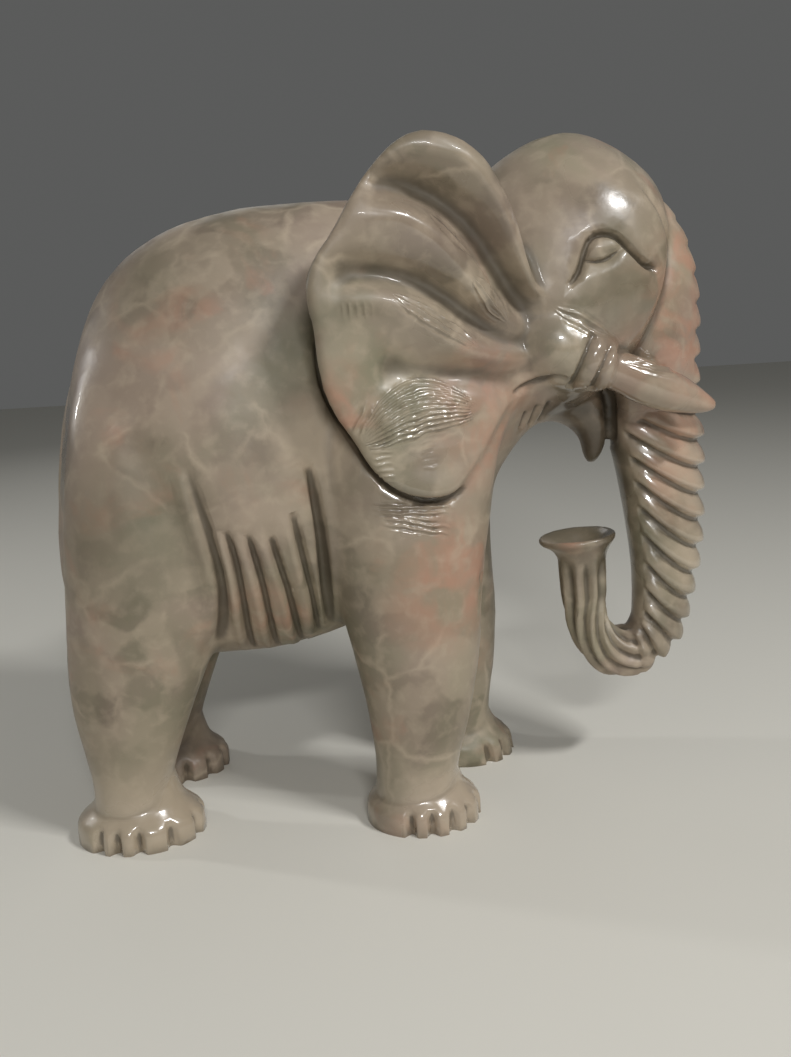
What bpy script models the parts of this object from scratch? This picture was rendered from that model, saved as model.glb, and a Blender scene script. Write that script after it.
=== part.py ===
"""Marble elephant figure, carved from one block and polished.

The animal looks along +X and stands on its soles at Z = 0.
All measures of the figure are shares of its height: they are written in units, of which
DRAWN_HEIGHT make the whole height, and FIGURE_HEIGHT alone sets the real size in metres.

A form that spans the figure is a row of rings. Each row gives two opposite points of a ring
as the side view shows them, (x, z, x, z), then the ring's half width and how far its middle
lies from where the form stands across.
"""

import math

import bmesh
import bpy
import numpy as np
from mathutils import Matrix

FIGURE_HEIGHT = 0.3075
DRAWN_HEIGHT = 307.5
UNIT = FIGURE_HEIGHT / DRAWN_HEIGHT

# How finely the stone is worked: spacing of the net, rounds of rubbing smooth, triangles
ROUGH_NET, ROUGH_RUBS = 2.4, 16
SHAPED_NET, SHAPED_RUBS = 1.7, 5
FINE_NET, FINE_RUBS = 1.3, 2
DETAILED_TRIANGLES = 40000
FINISHED_TRIANGLES = 9600

# Rings of a form: points round a ring, rings for each row, and how square a ring is
AROUND = 64
RINGS_PER_ROW = 6
SQUARENESS = 2.1
SKULL_SQUARENESS = 2.3
TRUNK_SQUARENESS = 2.05
BELLY_FULLNESS = 0.06
CHEEK_FULLNESS = 0.10

# Back and belly of the barrel, from the rump to the base of the neck
TORSO = (
    (-159, 136, -159, 112, 6, 0),
    (-157.5, 155, -155.5, 93, 22, 0),
    (-152.5, 177, -147.5, 84, 34, 0),
    (-146.5, 203, -138, 80, 44.5, 0),
    (-139, 228, -127, 79, 52, 0),
    (-129, 250, -113, 78, 58, 0),
    (-114, 266, -97, 77, 62.5, 0),
    (-94, 277, -77, 77, 65, 0),
    (-74, 282, -58, 78, 65.5, 0),
    (-59, 284.5, -42, 81, 62, 0),
    (-46, 285, -28, 85, 57, 0),
    (-32, 285.5, -16, 90, 51, 0),
    (-10, 285, -4, 95, 43.5, 0),
    (14, 281.5, 18, 101, 41, 0),
    (32, 282, 34, 112, 38, 0),
    (44, 286, 43.5, 128, 33, 0),
    (50, 292, 49, 154, 26, 0),
)

# Crown and throat of the head, from the nape to the brow
SKULL = (
    (30, 278, 42, 135, 30, 0),
    (40, 284.5, 48, 152, 36, 0),
    (50, 293, 56, 165, 41, 0),
    (60, 300, 65, 175.5, 44.5, 0),
    (72, 305.5, 76, 181, 47, 0),
    (86, 308, 88, 185, 48, 0),
    (98, 305, 97, 191, 47.5, 0),
    (109, 299, 106, 199, 45.5, 0),
    (118, 292, 113, 207, 41.5, 0),
    (125, 284, 119, 217, 35, 0),
    (129, 274, 123.5, 231, 27, 0),
    (129.5, 262, 127, 248, 14, 0),
)

# Front and back of the jaw, down to the point of the hanging lip
JAW = (
    (62, 205, 52, 180, 24, 0),
    (78, 203, 66, 178, 22, 0),
    (92, 200, 78, 178.5, 19, 0),
    (101, 192, 86.5, 174, 15, 0),
    (103.5, 181, 90.5, 168.5, 11.5, 0),
    (103, 169, 91.5, 163, 8.5, 0),
    (100, 161, 93, 158.5, 5, 0),
    (97, 157.5, 95.5, 157, 1.5, 0),
)

# Front and back of the side of the neck, from the cheek down to the shoulder
NECK_SIDE = (
    (82, 222, 40, 222, 9, 34),
    (70, 204, 30, 204, 12, 34),
    (57, 190, 24, 190, 15, 35.5),
    (49, 175, 16, 175, 19, 37.5),
    (45, 160, 10, 160, 22, 39),
    (42, 145, 8, 145, 22, 38),
)

# Front and back of a leg, from inside the body down past the ground
LEG_ACROSS = 36.0
FRONT_LEG = (
    (34, 235, -12, 235, 14, -6),
    (44, 205, -24, 205, 20, 0),
    (46, 178, -30, 178, 25, 2),
    (44, 150, -31, 150, 26, 2),
    (40, 125, -29, 125, 26, 1),
    (37.5, 103, -27, 103, 25.5, 0.5),
    (36, 84, -23.5, 84, 24.5, 0),
    (33, 65, -20, 65, 23, 0),
    (29, 47, -17.5, 47, 21.5, 0),
    (25, 33, -16.3, 33, 20, 0),
    (22.5, 20, -16.5, 20, 19.5, 0),
    (24, 8, -18, 8, 20.5, 0),
    (25, -3, -19, -3, 21, 0),
)
HIND_LEG = (
    (-95, 215, -134, 215, 14, -2),
    (-84, 190, -140, 190, 22, 3),
    (-80, 160, -144.5, 160, 27, 4),
    (-78.5, 135, -147.5, 135, 28.5, 3.5),
    (-79, 112, -150, 112, 28, 2.5),
    (-83, 95, -152, 95, 26.5, 1),
    (-90.5, 78, -153.5, 78, 25, 0.5),
    (-98.5, 60, -153, 60, 23, 0),
    (-105, 44, -150.5, 44, 21, 0),
    (-110, 30, -148.5, 30, 19.5, 0),
    (-111.5, 20, -148.5, 20, 19, 0),
    (-110, 8, -150, 8, 20, 0),
    (-109, -3, -151, -3, 20.5, 0),
)

# The left front leg steps forward, turning about a point inside the shoulder
FORWARD_STEP = 24.5
STEP_PIVOT = 210.0

# How far a foot lies ahead of its ankle and spreads past it, fore and aft and across
FRONT_FOOT = (2.5, 7.5, 5)
HIND_FOOT = (2, 11.5, 6)
# Heights of a foot, each with how far it reaches there as a share of its spread at the rim
FOOT_PROFILE = (
    (32, 0.58), (24, 0.64), (18, 0.71), (14.5, 0.81), (11.5, 0.93), (9, 0.985), (6, 1), (-3, 1),
)
FOOT_POINTS = 180
TOE_HEIGHT = 11.0
TOE_NOTCH_DEPTH = 4.5
TOE_NOTCH_HALF_ANGLE = 6.0
FRONT_TOE_NOTCHES = (-62, -37, -12, 13, 38, 60, 83, 105)
HIND_TOE_NOTCHES = (-96, -66, -38, -11, 18, 51, 82, 103, 121)

# Front and back of the trunk, from the brow round the curl to the rim and into its hollow
TRUNK = (
    (120.5, 288, 92, 272, 16, 0),
    (130, 277, 94, 258, 22, 0),
    (138.8, 263.5, 96, 244, 26, 0),
    (144, 248, 98, 231, 28, 0),
    (146, 231, 98, 219, 30, 0),
    (146, 214, 98, 205, 29.5, 0),
    (146, 198, 99.5, 192, 26, 0),
    (147, 182, 101.5, 180, 22, 0),
    (148.5, 164, 105, 164, 20, 0),
    (148.5, 146, 108.3, 148, 18.5, 0),
    (148.5, 128, 111.2, 130, 17, 0),
    (147.5, 112, 113.6, 112, 15.5, 0),
    (145, 98, 114.4, 97, 14.5, 0),
    (142, 84, 114.2, 85, 13.5, 0),
    (138, 70.5, 113.4, 80, 13, 0),
    (129.8, 59.8, 111.4, 77, 12.5, 0),
    (120, 51.3, 108.8, 76.2, 12, 0),
    (109, 49, 106, 76.5, 12, 0),
    (97.3, 52, 103.8, 78.6, 11.8, 0),
    (87.8, 62, 102.3, 82, 11.3, 0),
    (81.8, 76, 102, 86.5, 11.3, 0),
    (79.2, 90, 102, 95, 11.2, 0),
    (78.2, 104, 102, 105, 11.5, 0),
    (77.8, 111.5, 102, 112.5, 12.5, 0),
    (75, 115.8, 103.5, 117, 15, 0),
    (69.5, 119, 106.5, 122, 18.5, 0),
    (70.5, 121.8, 105.5, 124.6, 17.5, 0),
    (75, 120.5, 101.5, 122.5, 13.5, 0),
    (79.5, 116, 98.5, 117, 9.5, 0),
    (83, 112, 96, 112, 6, 0),
)
TRUNK_AROUND = 96
TRUNK_RINGS_PER_ROW = 10

# The trunk's ridges overlap like plump plates, fullest at their lower edge, and slant down in
# front. Where the tusks lie beside the trunk they keep to its front, clear of the tusks.
RIDGE_SPACING = 12.8
RIDGE_SPACING_AT_CURL = 12.0
RIDGE_START = 0.96
RIDGE_DEPTH = 3.6
RIDGE_SINK = 0.70
RIDGE_SWELL = 1.6
RIDGE_CREST = 0.84
RIDGE_UNDERCUT = 0.8
RIDGE_SLANT = 7.2
RIDGE_SLANT_CURVE = 1.8
RIDGE_REACH_AT_ROOT = 0.75
RIDGE_REACH = -0.76
RIDGE_END_SHARE = 0.10
FLUTES = 8
FLUTE_DEPTH = 3.8
FLUTE_ROUNDNESS = 1.4
FLUTE_TWIST = math.radians(120)

# Rows of the trunk between which its carving changes, and over which its flutes twist
FLUTES_TWIST = (21.0, 15.0)
RIDGES_DEEPEN = (0.6, 6.6)
RIDGES_WIDEN = (6.3, 7.3)
RIDGES_CLOSE_UP = (13.0, 15.0)
RIDGES_END = (16.4, 15.2)
FLUTES_BEGIN = (14.5, 16.5)
FLUTES_END = (23.2, 21.8)

# Upper and lower edge of a tusk, and of the fleshy sheath that it grows from
TUSK_ACROSS = 36.0
TUSK = (
    (84, 214, 78, 197, 8.5, 0),
    (98, 212, 95, 195, 9.5, 0.5),
    (111, 208, 108, 188, 10, 0.5),
    (122, 203, 119, 183.5, 9.6, 0),
    (131, 198, 129.5, 182, 8, -0.5),
    (138, 192.5, 137.5, 181.5, 5.8, -1),
    (143, 188, 143, 182.5, 3, -1.5),
    (144.5, 186, 144.5, 184.5, 0.8, -1.5),
)
SHEATH = (
    (55, 243, 44, 206, 11, -9),
    (66, 234, 57, 203, 14.5, -4),
    (76, 231.5, 67, 199.5, 16, -1),
    (85, 226, 76, 196.5, 15.5, 0),
    (92.5, 220.8, 85, 194.5, 15, 0.5),
    (98.5, 216, 92.5, 193.5, 14, 0.5),
    (100.5, 214, 95.5, 194.5, 11, 0.5),
)

# Outer and inner edge of the tail, which lies against the rump
TAIL = (
    (-140, 229, -130, 220, 6, 0),
    (-151.5, 201, -141, 196, 6.5, 0),
    (-158.5, 172, -148, 170, 5.5, 0),
    (-161.5, 145, -152, 145, 4.8, 0),
    (-162, 120, -152, 120, 4.6, 0),
    (-161, 104, -151, 104, 6, 0),
    (-158.5, 92, -149, 92, 6.5, 0),
    (-154, 80, -148, 80, 2, 0),
)

# The four borders of an ear's face, as (x, z, outward), from the root out and from top to bottom
EAR_FRONT_EDGE = (
    (78, 229, 38), (66.5, 238.5, 50), (62, 249, 54), (59.5, 258, 57), (56.7, 267, 60),
    (53.3, 275, 62), (49.3, 282.5, 64), (44.3, 290, 66), (37, 296, 68), (29, 299.5, 69),
)
EAR_LOWER_EDGE = ((66, 202, 32), (51.5, 190, 50), (41.5, 175, 57.5), (29.5, 160, 66))
EAR_ROOT = ((78, 229, 38), (77, 220, 41), (73, 210, 39), (66, 202, 32))
EAR_RIM = (
    (29, 299.5, 69), (20, 301, 70), (11.5, 299, 71), (3, 293, 72), (-4.5, 285.5, 74),
    (-11, 276, 76), (-17, 266, 78), (-24, 257, 80), (-29, 248, 80), (-30, 239, 80),
    (-28, 227, 79), (-27.5, 216, 78), (-26, 204, 77), (-22, 193, 75), (-16, 183, 74),
    (-10.5, 173, 73), (-4, 164.5, 72), (5, 158.5, 72), (15, 156, 71), (24, 157, 69), (29.5, 160, 66),
)
EAR_THICKNESS_AT_RIM = 8.5
EAR_THICKNESS_AT_ROOT = 30.0
EAR_EDGE_RADIUS = 4.0
EAR_NET = (110, 50)
EAR_SPAN = (120, 90)
EAR_CURVE_STEPS = 12

# Hollows and swells of an ear: half width, rise, then a line as (x, z) from the rim to the root
EAR_RELIEF = (
    (7.4, -14.0, ((0, 282), (11.5, 280), (24, 274), (34, 265.5), (41.5, 255.5), (49, 243.5), (56.5, 233.5), (66, 226.5))),
    (8.0, 5.0, ((-8, 273), (9, 271.5), (20, 266.5), (29.5, 259), (37, 248.5), (45, 235.5), (53, 227), (64, 222.5))),
    (7.0, -10.0, ((-12, 249), (0, 247.5), (11, 244.5), (23, 238), (35, 229), (48, 221), (62, 217), (71, 215))),
    (7.0, 5.0, ((-9, 239.5), (2, 238), (11, 233.5), (20, 227.5), (30, 219.5), (42, 213.5), (54, 210.5), (68, 210))),
    (7.0, -6.5, ((3, 210.5), (13, 207.5), (26, 206), (38, 205), (52, 205), (66, 204.5))),
    (12.0, 5.0, ((2, 188), (14, 192), (27, 192))),
    (5.0, 4.0, ((2, 290), (12, 295), (26, 293.5), (37, 288), (46, 279), (53, 265), (59, 250), (64.5, 240.5),
                (71, 234.5), (80, 228))),
)
RELIEF_AT_RIM = 0.35
RELIEF_FADE = 0.2

# Carved lines: half width, depth, nearest and farthest reach across, then points as (x, z).
# A line of negative depth is raised.
EYE_LINES = (
    (2.2, 4.2, 25, 70, ((78.5, 239), (82.8, 244.6), (85.9, 253.4), (89, 258.4), (94.4, 259.7), (99.5, 258),
                        (105.9, 252.2), (112, 246.6), (119, 243.8))),
    (1.7, 3.0, 25, 70, ((83.5, 250), (88, 248.7), (92.1, 248.5), (96.3, 249.9), (103, 254.5))),
    (3.2, -1.2, 25, 70, ((88, 252.8), (92, 254.5), (96, 254.6), (100, 254))),
)
BELLY_FOLDS = (
    (2.6, 4.2, 8, 90, ((-71.5, 147), (-69, 133.7), (-68.3, 116), (-68.9, 99), (-70, 80))),
    (2.6, 4.2, 8, 90, ((-62.5, 145), (-59.7, 129), (-58.4, 115), (-58.2, 98), (-59, 80))),
    (2.6, 4.2, 8, 90, ((-53, 143.5), (-50.2, 128.3), (-48, 114.6), (-47.1, 97.5), (-47.4, 80))),
    (2.4, 4.0, 8, 90, ((-42.8, 152), (-40.7, 136), (-39.2, 123), (-38, 112), (-37.8, 99), (-38.5, 88))),
    (3.2, 6.6, 8, 90, ((-35, 172), (-33.4, 162), (-32.3, 150), (-32, 138), (-32.1, 125), (-32.6, 110), (-33, 92))),
    (3.4, 5.0, 20, 90, ((-85, 176), (-81.5, 159), (-78.5, 143.5), (-76.6, 128), (-76.6, 116), (-79, 102), (-83, 92))),
)
EAR_UNDERCUT = (
    (2.2, 4.0, 30, 66.5, ((-29, 226), (-28, 211), (-25.5, 200), (-20.5, 188.5), (-14.5, 178.5), (-8.5, 168.5),
                          (-1.5, 161), (6, 156.3), (15, 153.8), (24, 154.6), (31, 159.5))),
)
CLEFT_BEHIND_TRUNK = (
    (3.2, 4.5, 0, 34, ((101.5, 194), (102.6, 186), (103.4, 176), (104.6, 166))),
)
SHEATH_RINGS = (
    (2.0, 3.4, 40, 70, ((88.6, 219.2), (85.4, 213.2), (82.7, 207.5), (80.2, 201), (77.5, 192))),
    (2.0, 3.4, 40, 70, ((96.4, 214.8), (93.3, 208.6), (90.5, 203), (88.4, 197), (86.8, 189.5))),
)
THROAT_WRINKLES = (
    (1.6, 2.4, 6, 50, ((59, 178), (60, 181), (61.6, 187))),
    (1.6, 2.4, 6, 50, ((63.6, 178.5), (64.6, 182), (66.6, 189.5))),
    (1.6, 2.4, 6, 50, ((68.6, 179.5), (69.8, 183), (72, 190.5))),
    (1.6, 2.0, 20, 60, ((53, 195), (60, 198.5), (72, 201), (80, 198))),
)
LINE_STEPS = 6
LINE_END_TAPER = 1 / 6
LINE_SHOULDER = 1.25

MARBLE_COLOUR = (0.46, 0.40, 0.35, 1.0)
MARBLE_ROUGHNESS = 0.18


def clear_scene():
    """Leaves an empty scene."""
    for item in list(bpy.data.objects):
        bpy.data.objects.remove(item)


def ramp(value, limits):
    """Rises from 0 to 1 between the two limits."""
    start, end = limits
    return np.clip((value - start) / (end - start), 0, 1)


def smooth_rows(rows, steps):
    """Rows of numbers read from a smooth curve through the given ones."""
    points = np.array(rows, float)
    ends = [2 * points[0] - points[1], *points, 2 * points[-1] - points[-2]]
    found = []
    for before, start, end, after in zip(ends, ends[1:], ends[2:], ends[3:]):
        for t in np.arange(steps) / steps:
            found.append(
                0.5 * (2 * start + (end - before) * t
                       + (2 * before - 5 * start + 4 * end - after) * t ** 2
                       + (3 * start - before - 3 * end + after) * t ** 3)
            )
    return np.array([*found, points[-1]])


def spanned_rings(rows, side=1, across=0.0, around=AROUND, steps=RINGS_PER_ROW,
                  squareness=SQUARENESS, fullness=0.0):
    """Rings between the two points of each row; fullness widens them towards the second point."""
    angle = np.arange(around) * 2 * math.pi / around
    along, out = (np.sign(wave) * np.abs(wave) ** (2 / squareness) for wave in (np.cos(angle), np.sin(angle)))
    out = out * (1 - fullness * np.cos(angle))
    rings = []
    for ax, az, bx, bz, half, shift in smooth_rows(rows, steps):
        x = (ax + bx) / 2 + (ax - bx) / 2 * along
        z = (az + bz) / 2 + (az - bz) / 2 * along
        rings.append(np.stack([x, side * (across + shift + half * out), z], axis=1))
    return np.array(rings)


def loft(name, rings):
    """A closed form, as an object, through rings of equally many points in units."""
    count, around = rings.shape[:2]
    faces = [list(range(around)), [(count - 1) * around + i for i in range(around)]]
    for r in range(count - 1):
        for i in range(around):
            j = (i + 1) % around
            faces.append([r * around + i, r * around + j, (r + 1) * around + j, (r + 1) * around + i])
    mesh = bpy.data.meshes.new(name)
    mesh.from_pydata((rings.reshape(-1, 3) * UNIT).tolist(), [], faces)
    shape = bmesh.new()
    shape.from_mesh(mesh)
    bmesh.ops.recalc_face_normals(shape, faces=shape.faces)
    shape.to_mesh(mesh)
    shape.free()
    form = bpy.data.objects.new(name, mesh)
    bpy.context.scene.collection.objects.link(form)
    return form


def forward_step(side):
    """How far the front leg of a side steps forward at the ground; only the left one does."""
    return FORWARD_STEP if side > 0 else 0.0


def swing(z, step):
    """How far a leg that steps forward has swung at a height."""
    return step * max(0.0, 1 - z / STEP_PIVOT)


def stepped(rows, step):
    """A leg's rows swung forward below the shoulder."""
    swung = []
    for ax, az, bx, bz, half, shift in rows:
        forward = swing(az, step)
        swung.append((ax + forward, az, bx + forward, bz, half, shift))
    return swung


def foot(name, leg, spread, notches, side, step):
    """A foot that flares from the leg's ankle to a rim of toes parted by notches."""
    ankle = min(leg, key=lambda row: row[0] - row[2])
    ahead, fore_and_aft, sideways = spread
    middle = (ankle[0] + ankle[2]) / 2 + ahead
    rim_length = (ankle[0] - ankle[2]) / 2 + fore_and_aft
    rim_width = ankle[4] + sideways
    angle = np.linspace(0, 2 * math.pi, round(FOOT_POINTS), endpoint=False)
    cut = np.zeros_like(angle)
    for notch in notches:
        away = np.abs((np.degrees(angle) - notch + 180) % 360 - 180)
        cut = np.maximum(cut, ramp(away, (TOE_NOTCH_HALF_ANGLE, 0)) ** 0.7)
    rings = []
    for z, reach in smooth_rows(FOOT_PROFILE, RINGS_PER_ROW):
        depth = TOE_NOTCH_DEPTH * ramp(z, (TOE_HEIGHT + 2, TOE_HEIGHT - 3)) * cut
        x = middle + swing(z, step) + (rim_length * reach - depth) * np.cos(angle)
        y = side * (LEG_ACROSS + (rim_width * reach - depth) * np.sin(angle))
        rings.append(np.stack([x, y, np.full_like(x, z)], axis=1))
    return loft(name, np.array(rings))


def trunk(name):
    """The trunk, with overlapping ridges down its front and flutes round its curled end."""
    rings = spanned_rings(TRUNK, around=TRUNK_AROUND, steps=TRUNK_RINGS_PER_ROW,
                          squareness=TRUNK_SQUARENESS)
    angle = np.arange(TRUNK_AROUND) * 2 * math.pi / TRUNK_AROUND
    facing = np.cos(angle)
    row = np.arange(len(rings)) / TRUNK_RINGS_PER_ROW
    close_up = ramp(row, RIDGES_CLOSE_UP)
    spacing = RIDGE_SPACING + (RIDGE_SPACING_AT_CURL - RIDGE_SPACING) * close_up
    moved = np.linalg.norm(np.diff(rings[:, 0], axis=0), axis=1)
    passed = RIDGE_START + np.concatenate([[0], np.cumsum(moved / spacing[1:])])
    reach = RIDGE_REACH_AT_ROOT + (RIDGE_REACH - RIDGE_REACH_AT_ROOT) * ramp(row, RIDGES_WIDEN)
    height = RIDGE_DEPTH * (0.35 + 0.65 * ramp(row, RIDGES_DEEPEN)) * ramp(row, RIDGES_END)
    fluted = FLUTE_DEPTH * ramp(row, FLUTES_BEGIN) * ramp(row, FLUTES_END)
    for i, ring in enumerate(rings):
        slant = RIDGE_SLANT * (1 - 0.5 * close_up[i]) * (1 - facing) ** RIDGE_SLANT_CURVE
        phase = (passed[i] + slant / spacing[i]) % 1
        swollen = 1 - np.clip(1 - phase / RIDGE_CREST, 0, 1) ** RIDGE_SWELL
        under = np.clip((1 - phase) / (1 - RIDGE_CREST), 0, 1) ** RIDGE_UNDERCUT
        plate = np.minimum(swollen, under)
        lift = height[i] * ramp(facing, (reach[i], reach[i] + RIDGE_END_SHARE)) * (plate - RIDGE_SINK)
        turned = FLUTES / 2 * (angle - FLUTE_TWIST * ramp(row[i], FLUTES_TWIST))
        lift = lift - fluted[i] * (1 - np.abs(np.sin(turned)) ** FLUTE_ROUNDNESS)
        outward = ring - ring.mean(axis=0)
        outward = outward / np.linalg.norm(outward, axis=1, keepdims=True)
        rings[i] = ring + outward * lift[:, None]
    return loft(name, rings)


def distance_to_line(x, z, line):
    """Distance of each point from a smooth line in the side view, and its share along it."""
    points = smooth_rows(line, LINE_STEPS)
    nearest = np.full(np.shape(x), np.inf)
    share = np.zeros(np.shape(x))
    for i, (start, end) in enumerate(zip(points, points[1:])):
        run = end - start
        t = np.clip(((x - start[0]) * run[0] + (z - start[1]) * run[1]) / (run @ run), 0, 1)
        away = np.hypot(x - start[0] - t * run[0], z - start[1] - t * run[1])
        closer = away < nearest
        nearest = np.where(closer, away, nearest)
        share = np.where(closer, (i + t) / (len(points) - 1), share)
    return nearest, share


def ear_sheet(across, out):
    """Points of an ear's face, spanned between its four borders."""
    def along(border, share):
        rows = smooth_rows(border, EAR_CURVE_STEPS)
        at = share * (len(rows) - 1)
        return np.stack([np.interp(at, np.arange(len(rows)), rows[:, k]) for k in range(3)], axis=-1)

    u, v = across[..., None], out[..., None]
    edges = (1 - u) * along(EAR_FRONT_EDGE, out) + u * along(EAR_LOWER_EDGE, out)
    bands = (1 - v) * along(EAR_ROOT, across) + v * along(EAR_RIM, across)
    corners = ((1 - u) * (1 - v) * np.array(EAR_ROOT[0]) + u * (1 - v) * np.array(EAR_ROOT[-1])
               + (1 - u) * v * np.array(EAR_RIM[0]) + u * v * np.array(EAR_RIM[-1]))
    return edges + bands - corners


def ear(name, side):
    """An ear: a waved plate with a rounded rim, thick at its root."""
    across, out = np.meshgrid(*(np.linspace(0, 1, round(count)) for count in EAR_NET), indexing="ij")
    x, z, level = np.moveaxis(ear_sheet(across, out), -1, 0)
    kept = RELIEF_AT_RIM + (1 - RELIEF_AT_RIM) * ramp(1 - out, (0, RELIEF_FADE))
    for half, rise, line in EAR_RELIEF:
        level = level + rise * kept * np.exp(-(distance_to_line(x, z, line)[0] / half) ** 2)
    thick = EAR_THICKNESS_AT_ROOT + (EAR_THICKNESS_AT_RIM - EAR_THICKNESS_AT_ROOT) * out ** 0.6
    edge = np.minimum((1 - out) * EAR_SPAN[1], np.minimum(across, 1 - across) * EAR_SPAN[0] / 2)
    thinner = thick / 2 * (1 - np.sqrt(np.clip(1 - ramp(edge, (EAR_EDGE_RADIUS, 0)) ** 2, 0.02, 1)))
    face = np.stack([x, side * (level - thinner), z], axis=-1)
    back = np.stack([x, side * (level - thick + thinner), z], axis=-1)
    return loft(name, np.concatenate([face, back[:, ::-1]], axis=1))


def baked(block):
    """The object with its modifiers made part of its mesh."""
    graph = bpy.context.evaluated_depsgraph_get()
    mesh = bpy.data.meshes.new_from_object(block.evaluated_get(graph))
    block.modifiers.clear()
    block.data = mesh
    return block


def fused(name, forms, net, rubs):
    """One closed form from overlapping ones, worked over with a net and rubbed smooth."""
    joined = bmesh.new()
    for form in forms:
        joined.from_mesh(form.data)
        bpy.data.objects.remove(form)
    mesh = bpy.data.meshes.new(name)
    joined.to_mesh(mesh)
    joined.free()
    block = bpy.data.objects.new(name, mesh)
    bpy.context.scene.collection.objects.link(block)
    remesh = block.modifiers.new("net", "REMESH")
    remesh.mode = "VOXEL"
    remesh.voxel_size = net * UNIT
    smooth = block.modifiers.new("rubs", "SMOOTH")
    smooth.factor = 0.5
    smooth.iterations = rubs
    return baked(block)


def carve(block, lines):
    """Cuts round-bottomed lines into both flanks and gives the depth at each vertex."""
    mesh = block.data
    points, normals = np.empty((2, len(mesh.vertices) * 3))
    mesh.vertices.foreach_get("co", points)
    mesh.vertices.foreach_get("normal", normals)
    points, normals = points.reshape(-1, 3) / UNIT, normals.reshape(-1, 3)
    depth = np.zeros(len(points))
    flank, reach = points[:, [0, 2]], np.abs(points[:, 1])
    for half, deep, near, far, line in lines:
        low, high = np.min(line, axis=0) - 3 * half, np.max(line, axis=0) + 3 * half
        close = np.all((flank > low) & (flank < high), axis=1) & (reach > near) & (reach < far)
        away, share = distance_to_line(*flank[close].T, line)
        taper = ramp(np.minimum(share, 1 - share), (0, LINE_END_TAPER)) ** 0.6
        cut = deep * taper * np.clip(1 - (away / half / LINE_SHOULDER) ** 2, 0, 1) ** 1.5
        depth[close] = np.where(np.abs(cut) > np.abs(depth[close]), cut, depth[close])
    mesh.vertices.foreach_set("co", ((points - normals * depth[:, None]) * UNIT).ravel())
    mesh.update()
    return depth


def thinned(block, detailed):
    """The object with fewer triangles, and far fewer where its surface is plain."""
    detail = block.vertex_groups.new(name="detail")
    detail.add(np.where(detailed)[0].tolist(), 1.0, "REPLACE")
    for triangles, kept in ((DETAILED_TRIANGLES, ""), (FINISHED_TRIANGLES, detail.name)):
        block.data.calc_loop_triangles()
        thin = block.modifiers.new("thin", "DECIMATE")
        thin.ratio = triangles / len(block.data.loop_triangles)
        thin.vertex_group = kept
        thin.invert_vertex_group = True
        baked(block)
    return block


def cut_soles_flat(block):
    """Cuts the feet level with the ground."""
    depth = FIGURE_HEIGHT / 4
    bpy.ops.mesh.primitive_cube_add(size=1, location=(0, 0, -depth / 2))
    ground = bpy.context.object
    ground.scale = (4 * FIGURE_HEIGHT, 2 * FIGURE_HEIGHT, depth)
    cut = block.modifiers.new("soles", "BOOLEAN")
    cut.operation = "DIFFERENCE"
    cut.object = ground
    bpy.context.view_layer.update()
    baked(block)
    bpy.data.objects.remove(ground)


def rough_block():
    """Barrel, skull, neck and legs, run into each other."""
    forms = [
        loft("torso", spanned_rings(TORSO, fullness=BELLY_FULLNESS)),
        loft("skull", spanned_rings(SKULL, squareness=SKULL_SQUARENESS, fullness=CHEEK_FULLNESS)),
    ]
    for side in (-1, 1):
        forms.append(loft("neck_side", spanned_rings(NECK_SIDE, side)))
        for leg in (stepped(FRONT_LEG, forward_step(side)), HIND_LEG):
            forms.append(loft("leg", spanned_rings(leg, side, LEG_ACROSS)))
    return fused("rough_block", forms, ROUGH_NET, ROUGH_RUBS)


def shaped_block():
    """The rough block with its jaw, ears and the sheaths of its tusks."""
    forms = [rough_block(), loft("jaw", spanned_rings(JAW))]
    for side in (-1, 1):
        forms.append(loft("sheath", spanned_rings(SHEATH, side, TUSK_ACROSS)))
        forms.append(ear("ear", side))
    return fused("shaped_block", forms, SHAPED_NET, SHAPED_RUBS)


def figure():
    """The whole figure, carved from the shaped block."""
    forms = [shaped_block(), trunk("trunk"), loft("tail", spanned_rings(TAIL))]
    for side in (-1, 1):
        forms.append(foot("front_foot", FRONT_LEG, FRONT_FOOT, FRONT_TOE_NOTCHES, side, forward_step(side)))
        forms.append(foot("hind_foot", HIND_LEG, HIND_FOOT, HIND_TOE_NOTCHES, side, 0.0))
        forms.append(loft("tusk", spanned_rings(TUSK, side, TUSK_ACROSS)))
    block = fused("elephant", forms, FINE_NET, FINE_RUBS)
    detailed = carve(block, EYE_LINES + SHEATH_RINGS) != 0
    carve(block, BELLY_FOLDS + THROAT_WRINKLES + EAR_UNDERCUT + CLEFT_BEHIND_TRUNK)
    thinned(block, detailed)
    cut_soles_flat(block)
    return block


def stand_on_origin(block):
    """Moves the mesh so that the middle of its box stands over the origin."""
    corners = np.array(block.bound_box)
    middle = (corners.min(axis=0) + corners.max(axis=0)) / 2
    block.data.transform(Matrix.Translation((-middle[0], -middle[1], 0)))


def marble():
    """Polished marble, pinkish grey."""
    stone = bpy.data.materials.new("polished_marble")
    stone.use_nodes = True
    shader = stone.node_tree.nodes["Principled BSDF"]
    shader.inputs["Base Color"].default_value = MARBLE_COLOUR
    shader.inputs["Roughness"].default_value = MARBLE_ROUGHNESS
    shader.inputs["Metallic"].default_value = 0.0
    return stone


def main():
    """Carves the figure, stands it on the origin and puts it in its own collection."""
    clear_scene()
    block = figure()
    stand_on_origin(block)
    block.vertex_groups.clear()
    block.data.materials.clear()
    block.data.materials.append(marble())
    block.data.shade_smooth()
    collection = bpy.data.collections.new("marble_elephant")
    bpy.context.scene.collection.children.link(collection)
    bpy.context.scene.collection.objects.unlink(block)
    collection.objects.link(block)


main()
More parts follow.
